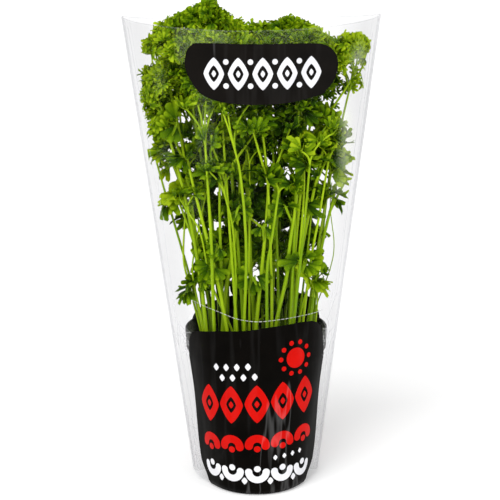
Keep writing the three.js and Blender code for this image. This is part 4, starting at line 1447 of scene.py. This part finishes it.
def panel_grid(front):
    share = np.linspace(-PANEL_EDGE, PANEL_EDGE, PANEL_GRID[0])[None, :]
    ease = np.sin(share / PANEL_EDGE * math.asin(PANEL_EDGE))
    top = np.interp(ease, *zip(*PANEL_TOP))
    x_bottom = ease * sleeve_round(PANEL_FOOT)
    bottom = film_heights(film_share(x_bottom, PANEL_FOOT), front)[0] + PANEL_LIFT
    z = bottom + (top - bottom) * np.linspace(0, 1, PANEL_GRID[1])[:, None]
    wider = PANEL_SPREAD * smooth(*SPREAD_BEGINS, z) * (1 - smooth(*SPREAD_ENDS, z)) * ease**5
    return on_film(ease * sleeve_round(z) + wider, z, front, PRINT_GROW[BLACK])


def smooth_loop(points, steps):
    """A closed smooth line through points."""
    points = np.array(points, float)
    corners = (np.roll(points, turn, axis=0)[:, None] for turn in (1, 0, -1, -2))
    return spline(*corners, (np.arange(steps) / steps)[None, :, None]).reshape(-1, 2)


def star_grid(loop, rings):
    """Points from the middle of a loop out to it, row by row."""
    middle = loop.mean(axis=0)
    share = np.linspace(0, 1, rings + 1)[:, None, None]
    return middle + (loop - middle)[None] * share


def ribbon(path, width, caps=5):
    """A band along a path, with round ends."""
    first, last = unit(path[0] - path[1]), unit(path[-1] - path[-2])
    angle = np.linspace(math.pi / 2, 0, caps + 1)[:-1]
    start = path[0] + 0.5 * width * np.sin(angle)[:, None] * first
    end = path[-1] + 0.5 * width * np.sin(angle)[::-1, None] * last
    line = np.concatenate([start, path, end])
    half = 0.5 * width * np.concatenate([np.cos(angle), np.ones(len(path)), np.cos(angle)[::-1]]) + 0.02
    along = np.gradient(line, axis=0)
    along /= np.linalg.norm(along, axis=1, keepdims=True)
    out = np.stack([-along[:, 1], along[:, 0]], axis=1)
    return line[:, None] + out[:, None] * half[:, None, None] * np.array([-1.0, 0, 1.0])[None, :, None]


def round_loop(centre, across, up, power):
    angle = circle(48)
    cosine, sine = np.cos(angle), np.sin(angle)
    x = across * np.sign(cosine) * np.abs(cosine) ** (2 / power)
    z = up * np.sign(sine) * np.abs(sine) ** (2 / power)
    return centre + np.stack([x, z], axis=1)


def mark_grid(form, centre, size, line):
    """One ornament, and whether its points close to a ring."""
    across, up = size
    power = ROUND if form == "dot" else DIAMOND
    if form == "arch":
        angle = np.linspace(math.pi, 0, 25)
        path = centre + np.stack([across * np.cos(angle), up * np.sin(angle)], axis=1)
        return ribbon(path, line), False
    outer = round_loop(centre, across, up, power)
    if line:
        inner = round_loop(centre, across - line, up - line * up / across, power)
        return np.stack([outer, (outer + inner) / 2, inner]), True
    return star_grid(outer, 3), True


def print_rows(patches, rows, place, front):
    for form, start, step, count, size, ink, line in rows:
        for k in range(count):
            grid, closed = mark_grid(form, np.array(start) + k * np.array(step), size, line)
            patches.add(place(grid, front, PRINT_GROW[ink]), ink, closed=closed)


def print_disc_dots(patches, front):
    for angle in circle(DISC_DOTS):
        centre = DISC + DISC_REACH * np.array([math.cos(angle), math.sin(angle)])
        grid, closed = mark_grid("dot", centre, DISC_DOT, 0)
        patches.add(unrolled(grid, front, PRINT_GROW[RED]), RED, closed=closed)


def print_tear_line(patches):
    x = np.linspace(*TEAR_ENDS, TEAR_POINTS)
    z = np.interp(x, *zip(*TEAR_LINE))
    window = 2 * TEAR_SOFTNESS + 1
    z = np.convolve(np.pad(z, TEAR_SOFTNESS, mode="edge"), np.ones(window) / window, mode="valid")
    steps = np.diff(facing(np.stack([x, z], axis=1), True, PRINT_GROW[CUT]), axis=0)
    length = np.concatenate([[0], np.cumsum(np.linalg.norm(steps, axis=1))])
    for start in np.arange(0.5, length[-1] - 3, CUT_STEP):
        at = np.linspace(start, start + CUT_LENGTH, 4)
        dash = np.stack([np.interp(at, length, x), np.interp(at, length, z)], axis=1)
        patches.add(facing(ribbon(dash, CUT_WIDTH, 1), True, PRINT_GROW[CUT]), CUT)


# How bright the painted highlights along the creases across the inks are
CREASE_HIGHLIGHT_FAINT = 0.004
CREASE_HIGHLIGHT_CLEAR = 0.045


def ink_material(name, low, high, roughness=0.3, gloss=0.05):
    """Printing ink, a little uneven, with painted highlights along creases where the film is folded."""
    shading = new_material(name)
    base = shading.ramp(shading.noise(scale=60, detail=3), [(0.3, low), (0.8, high)])
    folds = shading.noise(scale=15, detail=3, stretch=(3.0, 1.0, 0.32), lean=-0.35)
    # Painted highlights: pale lines added to the ink's colour along its creases
    crease = shading.ramp(folds, [
        (0.40, 0), (0.44, CREASE_HIGHLIGHT_FAINT), (0.48, 0), (0.60, 0), (0.62, CREASE_HIGHLIGHT_CLEAR), (0.64, 0),
    ])
    relief = shading.bump(folds, strength=0.35, distance=0.004)
    shading.principled(shading.blend("ADD", base, crease), roughness, gloss, Normal=relief)
    return shading.owner


def add_print():
    inks = [
        ink_material("black ink", (0.0014, 0.0011, 0.0008), (0.0034, 0.0027, 0.0020), gloss=0.02),
        ink_material("red ink", (0.50, 0.0025, 0.0006), (0.60, 0.004, 0.001), roughness=0.32),
        ink_material("white ink", (0.66, 0.66, 0.69), (0.78, 0.78, 0.80), roughness=0.35),
        ink_material("label ink", (0.0030, 0.0023, 0.0017), (0.0064, 0.0050, 0.0038)),
        ink_material("film cut", (0.34, 0.35, 0.33), (0.6, 0.6, 0.58)),
    ]
    for name, front in (("front_print", True), ("back_print", False)):
        patches = Patches()
        patches.add(panel_grid(front), BLACK)
        print_rows(patches, PANEL_ROWS, unrolled, front)
        print_disc_dots(patches, front)
        if front:
            label = star_grid(smooth_loop(LOZENGE, 6), 14)
            patches.add(facing(label, True, PRINT_GROW[LABEL]), LABEL, closed=True)
            print_rows(patches, LABEL_ROWS, facing, True)
            print_tear_line(patches)
        ride(patches.build(name, inks))


add_sleeve()
add_print()


# The pot: its outline as radii and heights, from its floor's underside round to the floor's top
POT_SEGMENTS = 128
POT_OUTLINE = [
    (12, 2.2), (26.2, 2.2), (27.0, 1.9), (27.6, 0.5), (28.2, 0), (36.4, 0), (37.2, 0.2), (39.2, 3.4),
    (39.9, 4.6), (40.1, 6), (51.45, 106.6), (51.6, 108), (52.4, 108.6), (54.0, 108.8), (54.3, 109.3),
    (54.45, 112), (54.95, 122.6), (55.0, 124.2), (54.7, 124.8), (54.1, 125), (53.9, 125), (53.4, 124.8),
    (53.2, 124.2), (52.75, 112), (52.5, 110.8), (51, 109.4), (50.3, 108), (38.7, 5), (38.0, 4.0),
    (36.8, 3.6), (12, 3.6),
]
SHARP_ANGLE = math.radians(32)

# The drain holes, and the notches in the foot ring: how many, the first one's direction, how far out they
# are, and the holes' radius and length or the notches' size
CUTS = 6
FIRST_CUT = 30
HOLE_OUT = 19
HOLE_RADIUS = 3.2
HOLE_LENGTH = 20
NOTCH_OUT = 33
NOTCH_SIZE = (18, 9, 4.4)


def pot_cuts():
    """The drain holes and the foot's notches, as one mesh."""
    shape = bmesh.new()
    for k in range(CUTS):
        turn = Matrix.Rotation(math.radians(FIRST_CUT) + 2 * math.pi * k / CUTS, 4, "Z")
        hole = turn @ Matrix.Translation((HOLE_OUT * MM, 0, 0))
        bmesh.ops.create_cone(shape, cap_ends=True, segments=24, radius1=HOLE_RADIUS * MM,
                              radius2=HOLE_RADIUS * MM, depth=HOLE_LENGTH * MM, matrix=hole)
        notch = turn @ Matrix.Translation((NOTCH_OUT * MM, 0, 0))
        size = Matrix.Diagonal((*(length * MM for length in NOTCH_SIZE), 1))
        bmesh.ops.create_cube(shape, matrix=notch @ size)
    mesh = bpy.data.meshes.new("cuts")
    shape.to_mesh(mesh)
    shape.free()
    return placed("cuts", mesh)


def add_pot(material):
    points = lathe_grid(POT_OUTLINE, POT_SEGMENTS).reshape(-1, 3)
    faces = quads_between(len(POT_OUTLINE), POT_SEGMENTS, closed=True).tolist()
    underside = list(range(POT_SEGMENTS))[::-1]
    floor_top = list(range(len(points) - POT_SEGMENTS, len(points)))
    thing = add_mesh("fine_pot", points, faces + [underside, floor_top], [material])
    cuts = pot_cuts()
    boolean = thing.modifiers.new("cuts", "BOOLEAN")
    boolean.object = cuts
    boolean.operation = "DIFFERENCE"
    boolean.solver = "EXACT"
    made = bpy.data.meshes.new_from_object(thing.evaluated_get(bpy.context.evaluated_depsgraph_get()))
    thing.modifiers.clear()
    thing.data = made
    bpy.data.objects.remove(cuts)
    made.materials.clear()
    made.materials.append(material)
    shade_smooth(made)
    made.set_sharp_from_angle(angle=SHARP_ANGLE)
    ride(thing, ["pot"])


def plastic_material():
    shading = new_material("black plastic")
    grain = shading.noise(scale=130, detail=4)
    colour = shading.ramp(grain, [(0.3, (0.005, 0.005, 0.0055)), (0.8, (0.012, 0.012, 0.013))])
    relief = shading.bump(shading.noise(scale=1400, detail=3), strength=0.25, distance=0.0003)
    shading.principled(colour, roughness=0.36, specular=0.16, Normal=relief)
    return shading.owner


# The growing medium: its underside, its radii inside the pot, how rough its top is, and its loose lumps
SOIL_BOTTOM = 4.05
SOIL_BOTTOM_RADIUS = 38.1
SOIL_TOP_RADIUS = 49.6
SOIL_SEGMENTS = 96
SOIL_RINGS = 40
SOIL_GRAIN = 0.25
SOIL_TONE = 0.35
LUMPS = 1000
LUMP_REACH = 49.2
LUMP_SIZES = (0.5, 1.9)
LUMP_SINK = 0.35


def soil_height(x, y):
    swell = np.sin(0.31 * x + 1.3) * np.cos(0.27 * y) + 0.6 * np.sin(0.53 * y + 0.4 * x)
    fine = 0.35 * np.sin(1.7 * x + 0.6 * y) * np.sin(1.3 * y - 0.5 * x)
    fine = fine + 0.2 * np.sin(3.1 * x) * np.cos(2.7 * y)
    return SOIL_TOP + SOIL_DOME * (1 - (x * x + y * y) / SOIL_TOP_RADIUS**2) + swell + fine


def soil_grid(rng):
    """Rings of points over the medium's underside, up its side and over its rough top."""
    below = lathe_grid([
        (0.01, SOIL_BOTTOM), (SOIL_BOTTOM_RADIUS / 2, SOIL_BOTTOM), (SOIL_BOTTOM_RADIUS, SOIL_BOTTOM),
        (SOIL_TOP_RADIUS, SOIL_TOP),
    ], SOIL_SEGMENTS)
    radii = np.linspace(SOIL_TOP_RADIUS - 0.6, 0.01, SOIL_RINGS)
    top = lathe_grid([(radius, 0) for radius in radii], SOIL_SEGMENTS)
    grain = rng.uniform(-SOIL_GRAIN, SOIL_GRAIN, top.shape[:2]) * np.minimum(radii / 10, 1)[:, None]
    top[..., 2] = soil_height(top[..., 0], top[..., 1]) + grain
    return np.concatenate([below, top])


def ball():
    """The corners and triangles of a rough ball."""
    shape = bmesh.new()
    bmesh.ops.create_icosphere(shape, subdivisions=1, radius=1)
    corners = np.array([v.co[:] for v in shape.verts])
    triangles = [[v.index for v in f.verts] for f in shape.faces]
    shape.free()
    return corners, triangles


def add_medium(material):
    rng = np.random.default_rng(SEED)
    patches = Patches()
    patches.add(soil_grid(rng), 0, closed=True, tone=SOIL_TONE)
    corners, triangles = ball()
    for _ in range(LUMPS):
        radius, turn = LUMP_REACH * math.sqrt(rng.uniform()), rng.uniform(0, 2 * math.pi)
        x, y = radius * math.cos(turn), radius * math.sin(turn)
        size = rng.uniform(*LUMP_SIZES) * np.array([1, rng.uniform(0.4, 1), rng.uniform(0.3, 0.8)])
        spin = Matrix.Rotation(rng.uniform(0, 6.28), 3, Vector(rng.uniform(-1, 1, 3)).normalized())
        lump = (corners * rng.uniform(0.7, 1.25, (len(corners), 1)) * size) @ np.array(spin).T
        lump = lump * min(1, max(SOIL_TOP_RADIUS - radius, 0.5) / 2)
        place = np.array([x, y, soil_height(x, y) + LUMP_SINK])
        patches.add_faces(lump + place, triangles, 0, tone=rng.uniform() ** 1.5)
    ride(patches.build("soil", [material]), ["growing_medium"])


def soil_material():
    shading = new_material("potting mix")
    grain = shading.noise(scale=420, detail=5)
    colour = shading.ramp(shading.total([("tone", 1), (grain, 0.5)], less=0.2), [
        (0.0, (0.006, 0.005, 0.004)), (0.5, (0.022, 0.013, 0.008)), (0.82, (0.075, 0.022, 0.010)),
        (1.0, (0.17, 0.085, 0.04)),
    ])
    relief = shading.bump(grain, strength=0.8, distance=0.0012)
    shading.principled(colour, roughness=0.95, specular=0.2, Normal=relief)
    return shading.owner


add_pot(plastic_material())
add_medium(soil_material())


# Camera, lights and floor
CAMERA_PLACE = (-4.2, -1050, 421)
CAMERA_PITCH = 12.67
CAMERA_ROLL = -0.5
CAMERA_LENS = 100.9
SENSOR_WIDTH = 36

# The floor shines a little, as a lit table does, so that it hardly shows a shadow
FLOOR_GLOW = 0.24
FLOOR_REACH = 20000

# The sky's brightness by height. At the horizon it is as bright as the floor.
SKY = [(0.0, 1.2), (0.08, 1.2), (0.22, 0.95), (0.5, 0.31)]


def aim_camera():
    data = bpy.data.cameras.new("camera")
    data.lens = CAMERA_LENS
    data.sensor_width = SENSOR_WIDTH
    camera = placed("camera", data)
    tilt = Matrix.Rotation(math.radians(90 - CAMERA_PITCH), 4, "X")
    roll = Matrix.Rotation(math.radians(CAMERA_ROLL), 4, "Z")
    camera.matrix_world = Matrix.Translation(Vector(CAMERA_PLACE) * MM) @ tilt @ roll
    bpy.context.scene.camera = camera


def add_sun(name, way, strength, spread_degrees):
    """A soft light from far away, so that the floor is as bright everywhere."""
    data = bpy.data.lights.new(name, "SUN")
    data.energy = strength
    data.angle = math.radians(spread_degrees)
    light = placed(name, data)
    light.location = way
    light.rotation_euler = Vector(way).to_track_quat("Z", "Y").to_euler()


def add_floor():
    shading = new_material("floor")
    colour = shading.ramp(shading.noise(scale=2, detail=2), [(0.0, 0.93), (1.0, 0.95)])
    glow = {"Emission Color": (1, 1, 1, 1), "Emission Strength": FLOOR_GLOW}
    shading.principled(colour, roughness=0.9, specular=0.1, **glow)
    far = FLOOR_REACH
    corners = [(-far, -far, 0), (far, -far, 0), (far, far, 0), (-far, far, 0)]
    add_mesh("floor", corners, [(0, 1, 2, 3)], [shading.owner])


def light_world():
    """Soft light from all round, strongest at the horizon."""
    shading = Shading(bpy.data.worlds.new("world"))
    bpy.context.scene.world = shading.owner
    place = shading.add("ShaderNodeTexCoord", {}, "Generated")
    height = shading.add("ShaderNodeSeparateXYZ", {0: place}, "Z")
    shading.fill(shading.nodes["Background"], {"Color": shading.ramp(height, SKY), "Strength": 1.0})


aim_camera()
add_floor()
light_world()
add_sun("key", (-0.45, -1.0, 1.1), 2.1, 40)
add_sun("fill", (0.9, -0.8, 0.7), 0.8, 70)
bpy.context.scene.view_settings.view_transform = "Standard"
